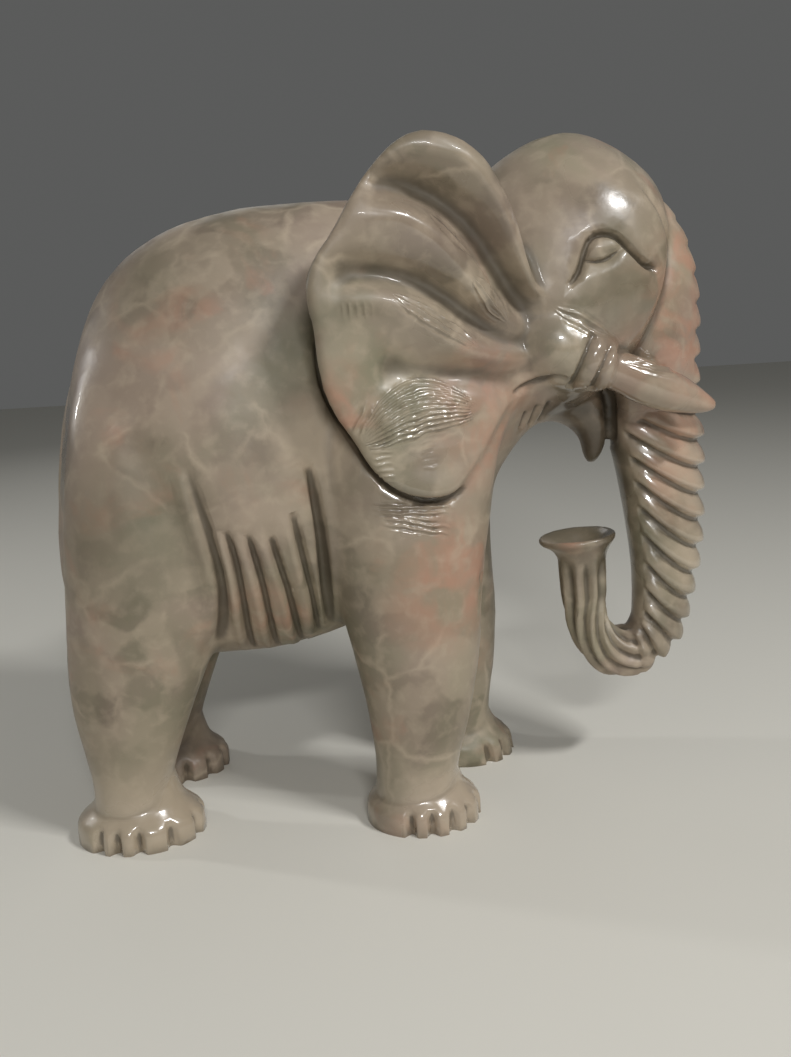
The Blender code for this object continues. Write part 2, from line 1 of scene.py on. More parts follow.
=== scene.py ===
"""Marble elephant figure: its carving in full relief, its polished stone and a plain studio.

The animal looks along +X and stands on the ground at Z = 0. Its forms are drawn in units of one
millimetre, from a zero that lies a little ahead of the frame's origin.
"""
import logging
import math
from dataclasses import dataclass
from enum import Enum

import bmesh
import bpy
import numpy as np
from mathutils import Matrix, Vector


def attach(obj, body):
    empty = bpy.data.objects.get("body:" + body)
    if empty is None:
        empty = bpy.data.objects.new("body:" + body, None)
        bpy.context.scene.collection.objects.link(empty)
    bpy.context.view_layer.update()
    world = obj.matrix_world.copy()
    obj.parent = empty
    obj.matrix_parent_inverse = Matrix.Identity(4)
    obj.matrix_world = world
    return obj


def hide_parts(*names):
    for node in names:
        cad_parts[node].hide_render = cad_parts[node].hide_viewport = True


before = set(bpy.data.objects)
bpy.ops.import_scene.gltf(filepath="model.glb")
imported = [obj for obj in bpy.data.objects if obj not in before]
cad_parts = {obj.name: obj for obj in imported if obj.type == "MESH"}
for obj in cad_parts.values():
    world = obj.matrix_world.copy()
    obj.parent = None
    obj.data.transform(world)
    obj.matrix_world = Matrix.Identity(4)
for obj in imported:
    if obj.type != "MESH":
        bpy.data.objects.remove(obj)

UNIT = 0.001
FIGURE_AHEAD = 6.0298
FIGURE_LEFT = 0.0393

Row = tuple[float, ...]
Rows = tuple[Row, ...]

log = logging.getLogger("elephant")


class Side(Enum):
    """A flank of the animal, with its sign along Y."""

    RIGHT = -1
    LEFT = 1


class Profile(Enum):
    """The section of a carved line, with the power that shapes it."""

    ROUND = 1.5
    SHARP = 0.85


def ramp(value: np.ndarray | float, limits: tuple[float, float]) -> np.ndarray:
    """Rises from 0 to 1 between two limits.

    Args:
        value: What is measured.
        limits: Where the rise starts and where it ends, which may be the lower one.

    Returns:
        The rise for each value.
    """
    start, end = limits
    return np.clip((np.asarray(value) - start) / (end - start), 0, 1)


def smooth_rows(rows: Rows, steps: int) -> np.ndarray:
    """Reads rows of numbers from a smooth curve through the given ones.

    Args:
        rows: The rows that the curve passes through.
        steps: How many rows are read for each given one.

    Returns:
        The rows read, the last given one included.
    """
    points = np.array(rows, float)
    ends = [2 * points[0] - points[1], *points, 2 * points[-1] - points[-2]]
    found = []
    for before, start, end, after in zip(ends, ends[1:], ends[2:], ends[3:]):
        for t in np.arange(steps) / steps:
            found.append(
                0.5 * (2 * start + (end - before) * t
                       + (2 * before - 5 * start + 4 * end - after) * t ** 2
                       + (3 * start - before - 3 * end + after) * t ** 3)
            )
    return np.array([*found, points[-1]])


def distance_to_line(x: np.ndarray, z: np.ndarray, line: Rows) -> tuple[np.ndarray, np.ndarray]:
    """Measures points of the side view against a smooth line.

    Args:
        x: Places along the figure.
        z: Heights.
        line: Points of the line, as (x, z).

    Returns:
        The distance of each point from the line, and its share of the way along it.
    """
    points = smooth_rows(line, 6)
    nearest = np.full(np.shape(x), np.inf)
    share = np.zeros(np.shape(x))
    for i, (start, end) in enumerate(zip(points, points[1:])):
        run = end - start
        t = np.clip(((x - start[0]) * run[0] + (z - start[1]) * run[1]) / (run @ run), 0, 1)
        away = np.hypot(x - start[0] - t * run[0], z - start[1] - t * run[1])
        closer = away < nearest
        nearest = np.where(closer, away, nearest)
        share = np.where(closer, (i + t) / (len(points) - 1), share)
    return nearest, share


def moved_along(points: Rows, ahead: float) -> Rows:
    """Moves points of the side view, as (x, z), along the figure."""
    return tuple((x + ahead, z) for x, z in points)


def add_object(name: str, data: bpy.types.ID) -> bpy.types.Object:
    """Adds an object to the scene.

    Args:
        name: What it is called.
        data: Its mesh, light or camera.

    Returns:
        The object.
    """
    item = bpy.data.objects.new(name, data)
    bpy.context.scene.collection.objects.link(item)
    return item


def closed_form(name: str, rings: np.ndarray) -> bpy.types.Object:
    """Makes a closed form through rings of equally many points.

    Args:
        name: What the form is called.
        rings: The points, ring by ring, in units.

    Returns:
        The form as an object.
    """
    count, around = rings.shape[:2]
    r, i = np.meshgrid(np.arange(count - 1), np.arange(around), indexing="ij")
    j = (i + 1) % around
    here, beyond = r * around, (r + 1) * around
    sides = np.stack([here + i, here + j, beyond + j, beyond + i], axis=-1)
    faces = sides.reshape(-1, 4).tolist()
    faces += [list(range(around)), [(count - 1) * around + k for k in range(around)]]
    mesh = bpy.data.meshes.new(name)
    mesh.from_pydata((rings.reshape(-1, 3) * UNIT).tolist(), [], faces)
    shape = bmesh.new()
    shape.from_mesh(mesh)
    bmesh.ops.recalc_face_normals(shape, faces=shape.faces)
    shape.to_mesh(mesh)
    shape.free()
    return add_object(name, mesh)


def baked(piece: bpy.types.Object) -> bpy.types.Object:
    """Makes an object's modifiers part of its mesh.

    Args:
        piece: The object.

    Returns:
        The same object, with no modifier left.
    """
    graph = bpy.context.evaluated_depsgraph_get()
    mesh = bpy.data.meshes.new_from_object(piece.evaluated_get(graph))
    piece.modifiers.clear()
    piece.data = mesh
    return piece


def use_tree(piece: bpy.types.Object, tree: bpy.types.NodeTree,
             sizes: dict[str, object]) -> bpy.types.Object:
    """Works an object over with a Geometry Nodes tree.

    Args:
        piece: The object.
        tree: The tree.
        sizes: What the tree's inputs are set to, by name.

    Returns:
        The same object, with the result as its mesh.
    """
    modifier = piece.modifiers.new(tree.name, "NODES")
    modifier.node_group = tree
    for item in tree.interface.items_tree:
        if item.item_type == "SOCKET" and item.in_out == "INPUT" and item.name in sizes:
            modifier[item.identifier] = sizes[item.name]
    return baked(piece)


@dataclass(frozen=True)
class Loft:
    """A form that spans the figure, as rings between two opposite points of the side view.

    A row is (x, z, x, z, half width, shift across).
    """

    name: str
    rows: Rows
    across: float = 0.0
    squareness: float = 2.1
    fullness: float = 0.0
    around: int = 64
    per_row: int = 6

    def rings(self, side: Side = Side.LEFT) -> np.ndarray:
        """Works out the rings.

        Args:
            side: The flank that the form lies on.

        Returns:
            The points, ring by ring, in units.
        """
        angle = np.arange(self.around) * 2 * math.pi / self.around
        along, out = (np.sign(wave) * np.abs(wave) ** (2 / self.squareness)
                      for wave in (np.cos(angle), np.sin(angle)))
        out = out * (1 - self.fullness * np.cos(angle))
        rings = []
        for ax, az, bx, bz, half, shift in smooth_rows(self.rows, self.per_row):
            x = (ax + bx) / 2 + (ax - bx) / 2 * along
            z = (az + bz) / 2 + (az - bz) / 2 * along
            rings.append(np.stack([x, side.value * (self.across + shift + half * out), z], axis=1))
        return np.array(rings)

    def form(self, side: Side = Side.LEFT) -> bpy.types.Object:
        """Makes the form on one flank."""
        return closed_form(self.name, self.rings(side))


@dataclass(frozen=True)
class Line:
    """A line carved into a flank; a negative depth raises it.

    Its section spreads a little past its half width, and it fades over the taper at both ends.
    """

    half: float
    depth: float
    reach: tuple[float, float]
    points: Rows
    profile: Profile = Profile.ROUND
    taper: float = 1 / 6
    sides: tuple[Side, ...] = (Side.RIGHT, Side.LEFT)
    spread: float = 1.25
    taper_power: float = 0.6

    def cut(self, points: np.ndarray) -> np.ndarray:
        """Works out how deep the line goes.

        Args:
            points: Points of the surface, in units.

        Returns:
            The depth at each point.
        """
        depth = np.zeros(len(points))
        flank, out = points[:, [0, 2]], np.abs(points[:, 1])
        low = np.min(self.points, axis=0) - 2 * self.half
        high = np.max(self.points, axis=0) + 2 * self.half
        close = np.all((flank > low) & (flank < high), axis=1)
        close &= (out > self.reach[0]) & (out < self.reach[1])
        close &= np.isin(np.sign(points[:, 1]), [side.value for side in self.sides])
        away, share = distance_to_line(*flank[close].T, self.points)
        taper = ramp(np.minimum(share, 1 - share), (0, self.taper)) ** self.taper_power
        section = np.clip(1 - (away / self.half / self.spread) ** 2, 0, 1) ** self.profile.value
        depth[close] = self.depth * taper * section
        return depth


@dataclass(frozen=True)
class Tooling:
    """A patch of gouge strokes, which may be arched and be pinched together at its two ends.

    The place is (x, z), and the halves run along and across the strokes.
    """

    place: Row
    halves: Row
    turn: float
    strokes: int
    depth: float
    arch: float = 0.0
    fade: float = 0.12
    pinch: float = 0.0
    reach: tuple[float, float] = (40, 90)
    sides: tuple[Side, ...] = (Side.RIGHT,)

    def marks(self, points: np.ndarray) -> tuple[np.ndarray, np.ndarray]:
        """Works out how the strokes lie.

        Args:
            points: Points of the surface, in units.

        Returns:
            How many strokes lie below each point, and how deep they are there.
        """
        x, z = points[:, 0] - self.place[0], points[:, 2] - self.place[1]
        cosine, sine = math.cos(math.radians(self.turn)), math.sin(math.radians(self.turn))
        along = (x * cosine + z * sine) / self.halves[0]
        swell = np.sin(math.pi * np.clip((along + 1) / 2, 0.01, 0.99))
        across = (z * cosine - x * sine - self.arch * swell) / (self.halves[1] * swell ** self.pinch)
        out = np.abs(points[:, 1])
        inside = (np.abs(along) < 1) & (np.abs(across) < 1)
        inside &= (out > self.reach[0]) & (out < self.reach[1])
        inside &= np.isin(np.sign(points[:, 1]), [side.value for side in self.sides])
        fade = ramp(1 - np.abs(across), (0, self.fade)) * ramp(1 - np.abs(along), (0, self.fade))
        return self.strokes / 2 * (across + 1), np.where(inside, self.depth * fade, 0.0)


@dataclass(frozen=True)
class Chip:
    """A small flake that has come off."""

    place: tuple[float, float, float]
    radius: float
    depth: float
    power: float = 0.7

    def cut(self, points: np.ndarray) -> np.ndarray:
        """Works out how deep the flake went at each point, in units."""
        away = np.linalg.norm(points - np.array(self.place), axis=1)
        return self.depth * np.clip(1 - (away / self.radius) ** 2, 0, 1) ** self.power


@dataclass
class Bench:
    """Lays out the nodes of one tree."""

    tree: bpy.types.NodeTree

    @classmethod
    def start(cls, name: str, kind: str, inputs: dict[str, str],
              outputs: dict[str, str]) -> tuple["Bench", object]:
        """Starts a group of nodes.

        Args:
            name: What the group is called.
            kind: Blender's name of its kind.
            inputs: The kind of each input, by name.
            outputs: The kind of each output, by name.

        Returns:
            The bench of the group, and its inputs inside it.
        """
        tree = bpy.data.node_groups.new(name, kind)
        for way, sockets in (("INPUT", inputs), ("OUTPUT", outputs)):
            for label, socket in sockets.items():
                tree.interface.new_socket(label, in_out=way, socket_type=f"NodeSocket{socket}")
        bench = cls(tree)
        return bench, bench.node("NodeGroupInput").outputs

    @classmethod
    def start_carving(cls, name: str, sizes: dict[str, float]) -> tuple["Bench", object]:
        """Starts a Geometry Nodes tree that works the stone.

        Args:
            name: What the tree is called.
            sizes: Its own inputs, by name.

        Returns:
            The bench of the tree, and its inputs inside it.
        """
        inputs = {"Geometry": "Geometry", **dict.fromkeys(sizes, "Float"), "Stone": "Material"}
        return cls.start(name, "GeometryNodeTree", inputs, {"Geometry": "Geometry"})

    def end_carving(self, worked: bpy.types.NodeSocket,
                    stone: bpy.types.NodeSocket) -> bpy.types.NodeTree:
        """Ends a Geometry Nodes tree with plain geometry of one material.

        Args:
            worked: The geometry that has been worked.
            stone: Its material.

        Returns:
            The tree.
        """
        real = self.node("GeometryNodeRealizeInstances", {"Geometry": worked})
        dressed = self.node("GeometryNodeSetMaterial", {"Geometry": real.outputs[0], "Material": stone})
        self.node("NodeGroupOutput", {"Geometry": dressed.outputs[0]})
        return self.tree

    def read(self, name: str, kind: str = "FLOAT") -> bpy.types.NodeSocket:
        """Reads an attribute of the points."""
        return self.node("GeometryNodeInputNamedAttribute", {"Name": name}, data_type=kind).outputs[0]

    def stretch(self, vector: object, factor: object) -> bpy.types.NodeSocket:
        """Makes a vector longer or shorter by a factor."""
        inputs = {0: vector, "Scale": factor}
        return self.node("ShaderNodeVectorMath", inputs, operation="SCALE").outputs[0]

    def node(self, kind: str, inputs: dict | None = None, **settings: object) -> bpy.types.Node:
        """Adds a node.

        Args:
            kind: Blender's name of the node.
            inputs: What each input, by name or place, is joined or set to.
            settings: The node's own settings.

        Returns:
            The node.
        """
        made = self.tree.nodes.new(kind)
        for name, value in settings.items():
            setattr(made, name, value)
        for key, value in (inputs or {}).items():
            if isinstance(value, bpy.types.NodeSocket):
                self.tree.links.new(value, made.inputs[key])
            else:
                made.inputs[key].default_value = value
        return made

    def sum(self, operation: str, *values: object) -> bpy.types.NodeSocket:
        """Adds a Math node.

        Args:
            operation: What it works out.
            values: Its inputs, sockets or numbers.

        Returns:
            Its result.
        """
        return self.node("ShaderNodeMath", dict(enumerate(values)), operation=operation).outputs[0]

    def blend(self, share: object, first: object, second: object) -> bpy.types.NodeSocket:
        """Mixes two colours.

        Args:
            share: How much of the second colour there is.
            first: The first colour.
            second: The second colour.

        Returns:
            The colour mixed.
        """
        mix = self.node("ShaderNodeMix", {0: share, 6: first, 7: second}, data_type="RGBA")
        return mix.outputs[2]

    def rise(self, value: object, start: float, end: float) -> bpy.types.NodeSocket:
        """Rises smoothly from 0 to 1 between two values."""
        limits = {"Value": value, "From Min": start, "From Max": end}
        return self.node("ShaderNodeMapRange", limits, interpolation_type="SMOOTHSTEP").outputs[0]


@dataclass
class Torso:
    """The barrel with the sides of the neck and the folds of the belly."""

    barrel: Loft = Loft("torso", (
        (-159, 136, -159, 112, 6, 0),
        (-157.5, 155, -155.5, 93, 22, 0),
        (-152.5, 177, -147.5, 84, 34, 0),
        (-146.5, 203, -138, 80, 44.5, 0),
        (-139, 228, -127, 79, 52, 0),
        (-129, 250, -113, 78, 58, 0),
        (-114, 266, -97, 77, 62.5, 0),
        (-94, 277, -77, 77, 65, 0),
        (-74, 282, -58, 78, 65.5, 0),
        (-59, 284.5, -42, 81, 62, 0),
        (-46, 285, -28, 85, 57, 0),
        (-32, 285.5, -16, 90, 51, 0),
        (-10, 285, -4, 95, 43.5, 0),
        (14, 281.5, 18, 101, 41, 0),
        (32, 282, 34, 112, 38, 0),
        (44, 286, 43.5, 128, 33, 0),
        (50, 292, 49, 154, 26, 0),
    ), fullness=0.06)
    neck_side: Loft = Loft("neck_side", (
        (82, 222, 40, 222, 9, 34),
        (70, 204, 30, 204, 12, 34),
        (57, 190, 24, 190, 15, 35.5),
        (49, 175, 16, 175, 19, 37.5),
        (45, 160, 10, 160, 22, 39),
        (42, 145, 8, 145, 22, 38),
    ))
    tail: Loft = Loft("tail", (
        (-140, 229, -130, 220, 6, 0),
        (-151.5, 201, -141, 196, 6.5, 0),
        (-158.5, 172, -148, 170, 5.5, 0),
        (-161.5, 145, -152, 145, 4.8, 0),
        (-162, 120, -152, 120, 4.6, 0),
        (-161, 104, -151, 104, 6, 0),
        (-158.5, 92, -149, 92, 6.5, 0),
        (-154, 80, -148, 80, 2, 0),
    ))
    belly_folds: tuple[Rows, ...] = (
        ((-71.5, 147), (-69, 133.7), (-68.3, 116), (-68.9, 99), (-70, 80)),
        ((-62.5, 145), (-59.7, 129), (-58.4, 115), (-58.2, 98), (-59, 80)),
        ((-53, 143.5), (-50.2, 128.3), (-48, 114.6), (-47.1, 97.5), (-47.4, 80)),
        ((-42.8, 152), (-40.7, 136), (-39.2, 123), (-38, 112), (-37.8, 99), (-38.5, 88)),
    )
    fold_reach: tuple[float, float] = (8, 90)
    fold_half: float = 2.0
    fold_depth: float = 3.7
    rib_behind: float = 4.4
    rib_half: float = 2.2
    rib_rise: float = 1.5
    flank_crease: Line = Line(2.5, 6.0, (8, 90), (
        (-35, 172), (-33.4, 162), (-32.3, 150), (-32, 138), (-32.1, 125), (-32.6, 110),
        (-33, 92)), taper=0.3)
    thigh_crease: Line = Line(3.2, 3.6, (20, 90), (
        (-85, 176), (-81.5, 159), (-78.5, 143.5), (-76.6, 128), (-76.6, 116), (-79, 102),
        (-83, 92)), taper=0.5)
    thigh_edge: Line = Line(3.4, -1.2, (20, 90), (
        (-89, 174), (-86, 158), (-83, 142), (-81.2, 128), (-81.2, 116), (-83.5, 103), (-87.5, 93)))

    def rough_forms(self) -> list[bpy.types.Object]:
        """Makes the forms that are rubbed smooth together."""
        return [self.barrel.form(), *(self.neck_side.form(side) for side in Side)]

    def fine_forms(self) -> list[bpy.types.Object]:
        """Makes the tail, which lies against the rump."""
        return [self.tail.form()]

    def lines(self) -> list[Line]:
        """Gives the lines of the belly and the hind quarters.

        Returns:
            The grooves, a raised rib behind each of them, and the creases.
        """
        lines = [self.flank_crease, self.thigh_crease, self.thigh_edge]
        for fold in self.belly_folds:
            rib = moved_along(fold, -self.rib_behind)
            lines.append(Line(self.fold_half, self.fold_depth, self.fold_reach, fold))
            lines.append(Line(self.rib_half, -self.rib_rise, self.fold_reach, rib))
        return lines


@dataclass
class Head:
    """Skull, jaw and tusks, with the lines of the eyes and the throat."""

    skull: Loft = Loft("skull", (
        (30, 278, 42, 135, 30, 0),
        (40, 284.5, 48, 152, 36, 0),
        (50, 293, 56, 165, 41, 0),
        (60, 300, 65, 175.5, 44.5, 0),
        (72, 305.5, 76, 181, 47, 0),
        (86, 308, 88, 185, 48, 0),
        (98, 305, 97, 191, 47.5, 0),
        (109, 299, 106, 199, 45.5, 0),
        (118, 292, 113, 207, 41.5, 0),
        (125, 284, 119, 217, 35, 0),
        (129, 274, 123.5, 231, 27, 0),
        (129.5, 262, 127, 248, 14, 0),
    ), squareness=2.3, fullness=0.10)
    jaw: Loft = Loft("jaw", (
        (62, 205, 52, 180, 24, 0),
        (78, 203, 66, 178, 22, 0),
        (92, 200, 78, 178.5, 19, 0),
        (101, 192, 86.5, 174, 15, 0),
        (103.5, 181, 90.5, 168.5, 11.5, 0),
        (103, 169, 91.5, 163, 8.5, 0),
        (100, 161, 93, 158.5, 5, 0),
        (97, 157.5, 95.5, 157, 1.5, 0),
    ))
    sheath: Loft = Loft("sheath", (
        (55, 243, 44, 206, 11, -9),
        (66, 234, 57, 203, 14.5, -4),
        (76, 231.5, 67, 199.5, 16, -1),
        (85, 226, 76, 196.5, 15.5, 0),
        (92.5, 220.8, 85, 194.5, 15, 0.5),
        (98.5, 216, 92.5, 193.5, 14, 0.5),
        (100.5, 214, 95.5, 194.5, 11, 0.5),
    ), across=36.0)
    tusk: Loft = Loft("tusk", (
        (84, 214, 78, 197, 8.5, 0),
        (98, 212, 95, 195, 9.5, 0.5),
        (111, 208, 108, 188, 10, 0.5),
        (122, 203, 119, 183.5, 9.6, 0),
        (131, 198, 129.5, 182, 8, -0.5),
        (138, 192.5, 137.5, 181.5, 5.8, -1),
        (143, 188, 143, 182.5, 3, -1.5),
        (144.5, 186, 144.5, 184.5, 0.8, -1.5),
    ), across=36.0)
    upper_lid: Line = Line(1.75, 4.6, (25, 70), (
        (78.5, 239), (82.8, 244.6), (85.9, 253.4), (89, 258.4), (94.4, 259.7), (99.5, 258),
        (105.9, 252.2), (112, 246.6), (119, 243.8)), taper=1 / 14)
    lower_lid: Line = Line(1.25, 2.8, (25, 70), (
        (83.5, 250), (88, 248.7), (92.1, 248.5), (96.3, 249.9), (103, 254.5)))
    eyeball: Line = Line(2.8, -1.2, (25, 70), ((88, 252.8), (92, 254.5), (96, 254.6), (100, 254)))
    sheath_rings: tuple[Rows, ...] = (
        ((88.6, 219.2), (85.4, 213.2), (82.7, 207.5), (80.2, 201), (77.5, 192)),
        ((96.4, 214.8), (93.3, 208.6), (90.5, 203), (88.4, 197), (86.8, 189.5)),
    )
    wrinkles: tuple[Rows, ...] = (
        ((59, 178), (60, 181), (61.6, 187)),
        ((63.6, 178.5), (64.6, 182), (66.6, 189.5)),
        ((68.6, 179.5), (69.8, 183), (72, 190.5)),
    )
    face_edge: Rows = ((112, 279), (115.3, 274.9), (120.8, 267.1), (124.2, 257.4), (124.5, 247.3),
                       (122.7, 237.7), (117.8, 226.5), (112.4, 216.9))
    face_reach: tuple[float, float] = (8, 50)
    face_groove_points: int = 6
    face_groove_ahead: float = 1.2
    face_groove_half: float = 1.6
    face_groove_depth: float = 1.6
    face_groove_taper: float = 0.35
    face_rim_behind: float = 2.6
    face_rim_half: float = 2.6
    face_rim_rise: float = 0.7
    ring_reach: tuple[float, float] = (40, 70)
    ring_half: float = 1.5
    ring_depth: float = 2.9
    wrinkle_reach: tuple[float, float] = (6, 50)
    wrinkle_half: float = 1.5
    wrinkle_depth: float = 2.2
    mouth: Line = Line(1.6, 2.0, (20, 60), ((53, 195), (60, 198.5), (72, 201), (80, 198)))
    behind_trunk: Line = Line(2.1, 2.8, (0, 34), (
        (101.5, 194), (102.6, 186), (103.4, 176), (104.6, 164)), taper=1 / 4)

    def rough_forms(self) -> list[bpy.types.Object]:
        """Makes the skull."""
        return [self.skull.form()]

    def shaped_forms(self) -> list[bpy.types.Object]:
        """Makes the jaw and the sheaths of the tusks."""
        return [self.jaw.form(), *(self.sheath.form(side) for side in Side)]

    def fine_forms(self) -> list[bpy.types.Object]:
        """Makes the tusks."""
        return [self.tusk.form(side) for side in Side]

    def lines(self) -> list[Line]:
        """Gives the lines of the head.

        Returns:
            Those of the eyes, the mouth, the sheaths, the throat and the edge of the face.
        """
        rings = [Line(self.ring_half, self.ring_depth, self.ring_reach, ring, Profile.SHARP)
                 for ring in self.sheath_rings]
        throat = [Line(self.wrinkle_half, self.wrinkle_depth, self.wrinkle_reach, wrinkle)
                  for wrinkle in self.wrinkles]
        groove = moved_along(self.face_edge[:self.face_groove_points], self.face_groove_ahead)
        rim = moved_along(self.face_edge, -self.face_rim_behind)
        face = [Line(self.face_groove_half, self.face_groove_depth, self.face_reach, groove,
                     taper=self.face_groove_taper),
                Line(self.face_rim_half, -self.face_rim_rise, self.face_reach, rim)]
        return [self.upper_lid, self.lower_lid, self.eyeball, self.mouth, self.behind_trunk,
                *rings, *throat, *face]


@dataclass
class Ears:
    """Two waved plates with rounded rims, thick at their roots.

    A border is a row of (x, z, outward), and a swell is (half width, rise, points as (x, z)).
    """

    front_edge: Rows = (
        (78, 229, 38), (66.5, 238.5, 50), (62, 249, 54), (59.5, 258, 57), (56.7, 267, 60),
        (53.3, 275, 62), (49.3, 282.5, 64), (44.3, 290, 66), (37, 296, 68), (29, 299.5, 69))
    lower_edge: Rows = ((66, 202, 32), (51.5, 190, 50), (41.5, 175, 57.5), (29.5, 160, 66))
    root: Rows = ((78, 229, 38), (77, 220, 41), (73, 210, 39), (66, 202, 32))
    rim: Rows = (
        (29, 299.5, 69), (20, 301, 70), (11.5, 299, 71), (3, 293, 72), (-4.5, 285.5, 74),
        (-11, 276, 76), (-17, 266, 78), (-24, 257, 80), (-29, 248, 80), (-30, 239, 80),
        (-28, 227, 79), (-27.5, 216, 78), (-26, 204, 77), (-22, 193, 75), (-16, 183, 74),
        (-10.5, 173, 73), (-4, 164.5, 72), (5, 158.5, 72), (15, 156, 71), (24, 157, 69),
        (29.5, 160, 66))
    swells: tuple[tuple[float, float, Rows], ...] = (
        (7.4, -14.0, ((0, 282), (11.5, 280), (24, 274), (34, 265.5), (41.5, 255.5), (49, 243.5),
                      (56.5, 233.5), (66, 226.5))),
        (8.0, 5.0, ((-8, 273), (9, 271.5), (20, 266.5), (29.5, 259), (37, 248.5), (45, 235.5),
                    (53, 227), (64, 222.5))),
        (7.0, -10.0, ((-12, 249), (0, 247.5), (11, 244.5), (23, 238), (35, 229), (48, 221),
                      (62, 217), (71, 215))),
        (7.0, 5.0, ((-9, 239.5), (2, 238), (11, 233.5), (20, 227.5), (30, 219.5), (42, 213.5),
                    (54, 210.5), (68, 210))),
        (7.0, -6.5, ((3, 210.5), (13, 207.5), (26, 206), (38, 205), (52, 205), (66, 204.5))),
        (12.0, 5.0, ((2, 188), (14, 192), (27, 192))),
        (5.0, 4.0, ((2, 290), (12, 295), (26, 293.5), (37, 288), (46, 279), (53, 265), (59, 250),
                    (64.5, 240.5), (71, 234.5), (80, 228))),
    )
    thickness_at_rim: float = 8.5
    thickness_at_root: float = 30.0
    thinning_power: float = 0.6
    edge_radius: float = 4.0
    depth_of_face: float = 90.0
    breadth_of_face: float = 60.0
    swell_left_at_rim: float = 0.35
    share_that_calms: float = 0.2
    net: tuple[int, int] = (220, 100)
    undercut: Line = Line(1.6, 3.8, (30, 66.5), (
        (-29, 226), (-28, 211), (-25.5, 200), (-20.5, 188.5), (-14.5, 178.5), (-8.5, 168.5), (-1.5, 161),
        (6, 156.3), (15, 153.8), (24, 154.6), (31, 159.5)), taper=1 / 5)
    tooling: tuple[Tooling, ...] = (
        Tooling((13, 186.6), (25, 13), 12, 11, 1.1, arch=7.4, pinch=0.5, sides=(Side.RIGHT, Side.LEFT)),
        Tooling((-10.2, 191), (7.5, 5.2), 58, 3, 1.1, fade=0.5),
        Tooling((-3, 172), (4.5, 10), 2, 8, 0.7, fade=0.6),
        Tooling((15.6, 174.4), (3.6, 8), 2, 6, 0.5, fade=0.6),
        Tooling((7, 151), (17, 4), -4, 3, 1.6, fade=0.4, reach=(30, 90)),
        Tooling((9, 144), (15, 4), -12, 3, 1.4, fade=0.5, reach=(30, 90)),
        Tooling((-148, 187), (14, 5), 78, 3, 0.7, fade=0.5, reach=(10, 80)),
        Tooling((44.5, 235.4), (12, 6), -52, 4, 1.1, fade=0.4, pinch=0.5),
        Tooling((21.5, 228), (21, 5.4), -34, 4, 1.1, fade=0.4, pinch=0.5),
        Tooling((29.5, 261.5), (12, 3.4), -46, 2, 0.7, fade=0.6, pinch=0.5),
        Tooling((-9.5, 233.6), (4, 9), 92, 6, 0.5, fade=0.7),
        Tooling((84, 224), (14, 5), -30, 3, 0.9, fade=0.5, pinch=0.5),
        Tooling((116, 203), (15, 4), -14, 3, 0.6, fade=0.6, pinch=0.5, reach=(30, 60)),
    )

    def sheet(self, across: np.ndarray, out: np.ndarray) -> np.ndarray:
        """Spans the face of an ear between its four borders.

        Args:
            across: Shares of the way from the front edge to the lower edge.
            out: Shares of the way from the root to the rim.

        Returns:
            The points, as (x, z, outward).
        """
        def along(border: Rows, share: np.ndarray) -> np.ndarray:
            """Reads points of a border.

            Args:
                border: The border's rows.
                share: Shares of its length.

            Returns:
                The points, as (x, z, outward).
            """
            rows = smooth_rows(border, 12)
            at = share * (len(rows) - 1)
            return np.stack([np.interp(at, np.arange(len(rows)), rows[:, k]) for k in range(3)], axis=-1)

        u, v = across[..., None], out[..., None]
        edges = (1 - u) * along(self.front_edge, out) + u * along(self.lower_edge, out)
        bands = (1 - v) * along(self.root, across) + v * along(self.rim, across)
        corners = ((1 - u) * (1 - v) * np.array(self.root[0]) + u * (1 - v) * np.array(self.root[-1])
                   + (1 - u) * v * np.array(self.rim[0]) + u * v * np.array(self.rim[-1]))
        return edges + bands - corners

    def form(self, side: Side) -> bpy.types.Object:
        """Makes the ear of one side.

        Args:
            side: The flank that it lies on.

        Returns:
            The ear.
        """
        across, out = np.meshgrid(*(np.linspace(0, 1, count) for count in self.net), indexing="ij")
        x, z, level = np.moveaxis(self.sheet(across, out), -1, 0)
        calm = self.swell_left_at_rim
        kept = calm + (1 - calm) * ramp(1 - out, (0, self.share_that_calms))
        for half, rise, line in self.swells:
            level = level + rise * kept * np.exp(-(distance_to_line(x, z, line)[0] / half) ** 2)
        thinned = (self.thickness_at_rim - self.thickness_at_root) * out ** self.thinning_power
        thick = self.thickness_at_root + thinned
        edge = np.minimum((1 - out) * self.depth_of_face,
                          np.minimum(across, 1 - across) * self.breadth_of_face)
        roundness = np.sqrt(np.clip(1 - ramp(edge, (self.edge_radius, 0)) ** 2, 0.02, 1))
        thinner = thick / 2 * (1 - roundness)
        face = np.stack([x, side.value * (level - thinner), z], axis=-1)
        back = np.stack([x, side.value * (level - thick + thinner), z], axis=-1)
        return closed_form("ear", np.concatenate([face, back[:, ::-1]], axis=1))

    def shaped_forms(self) -> list[bpy.types.Object]:
        """Makes both ears."""
        return [self.form(side) for side in Side]


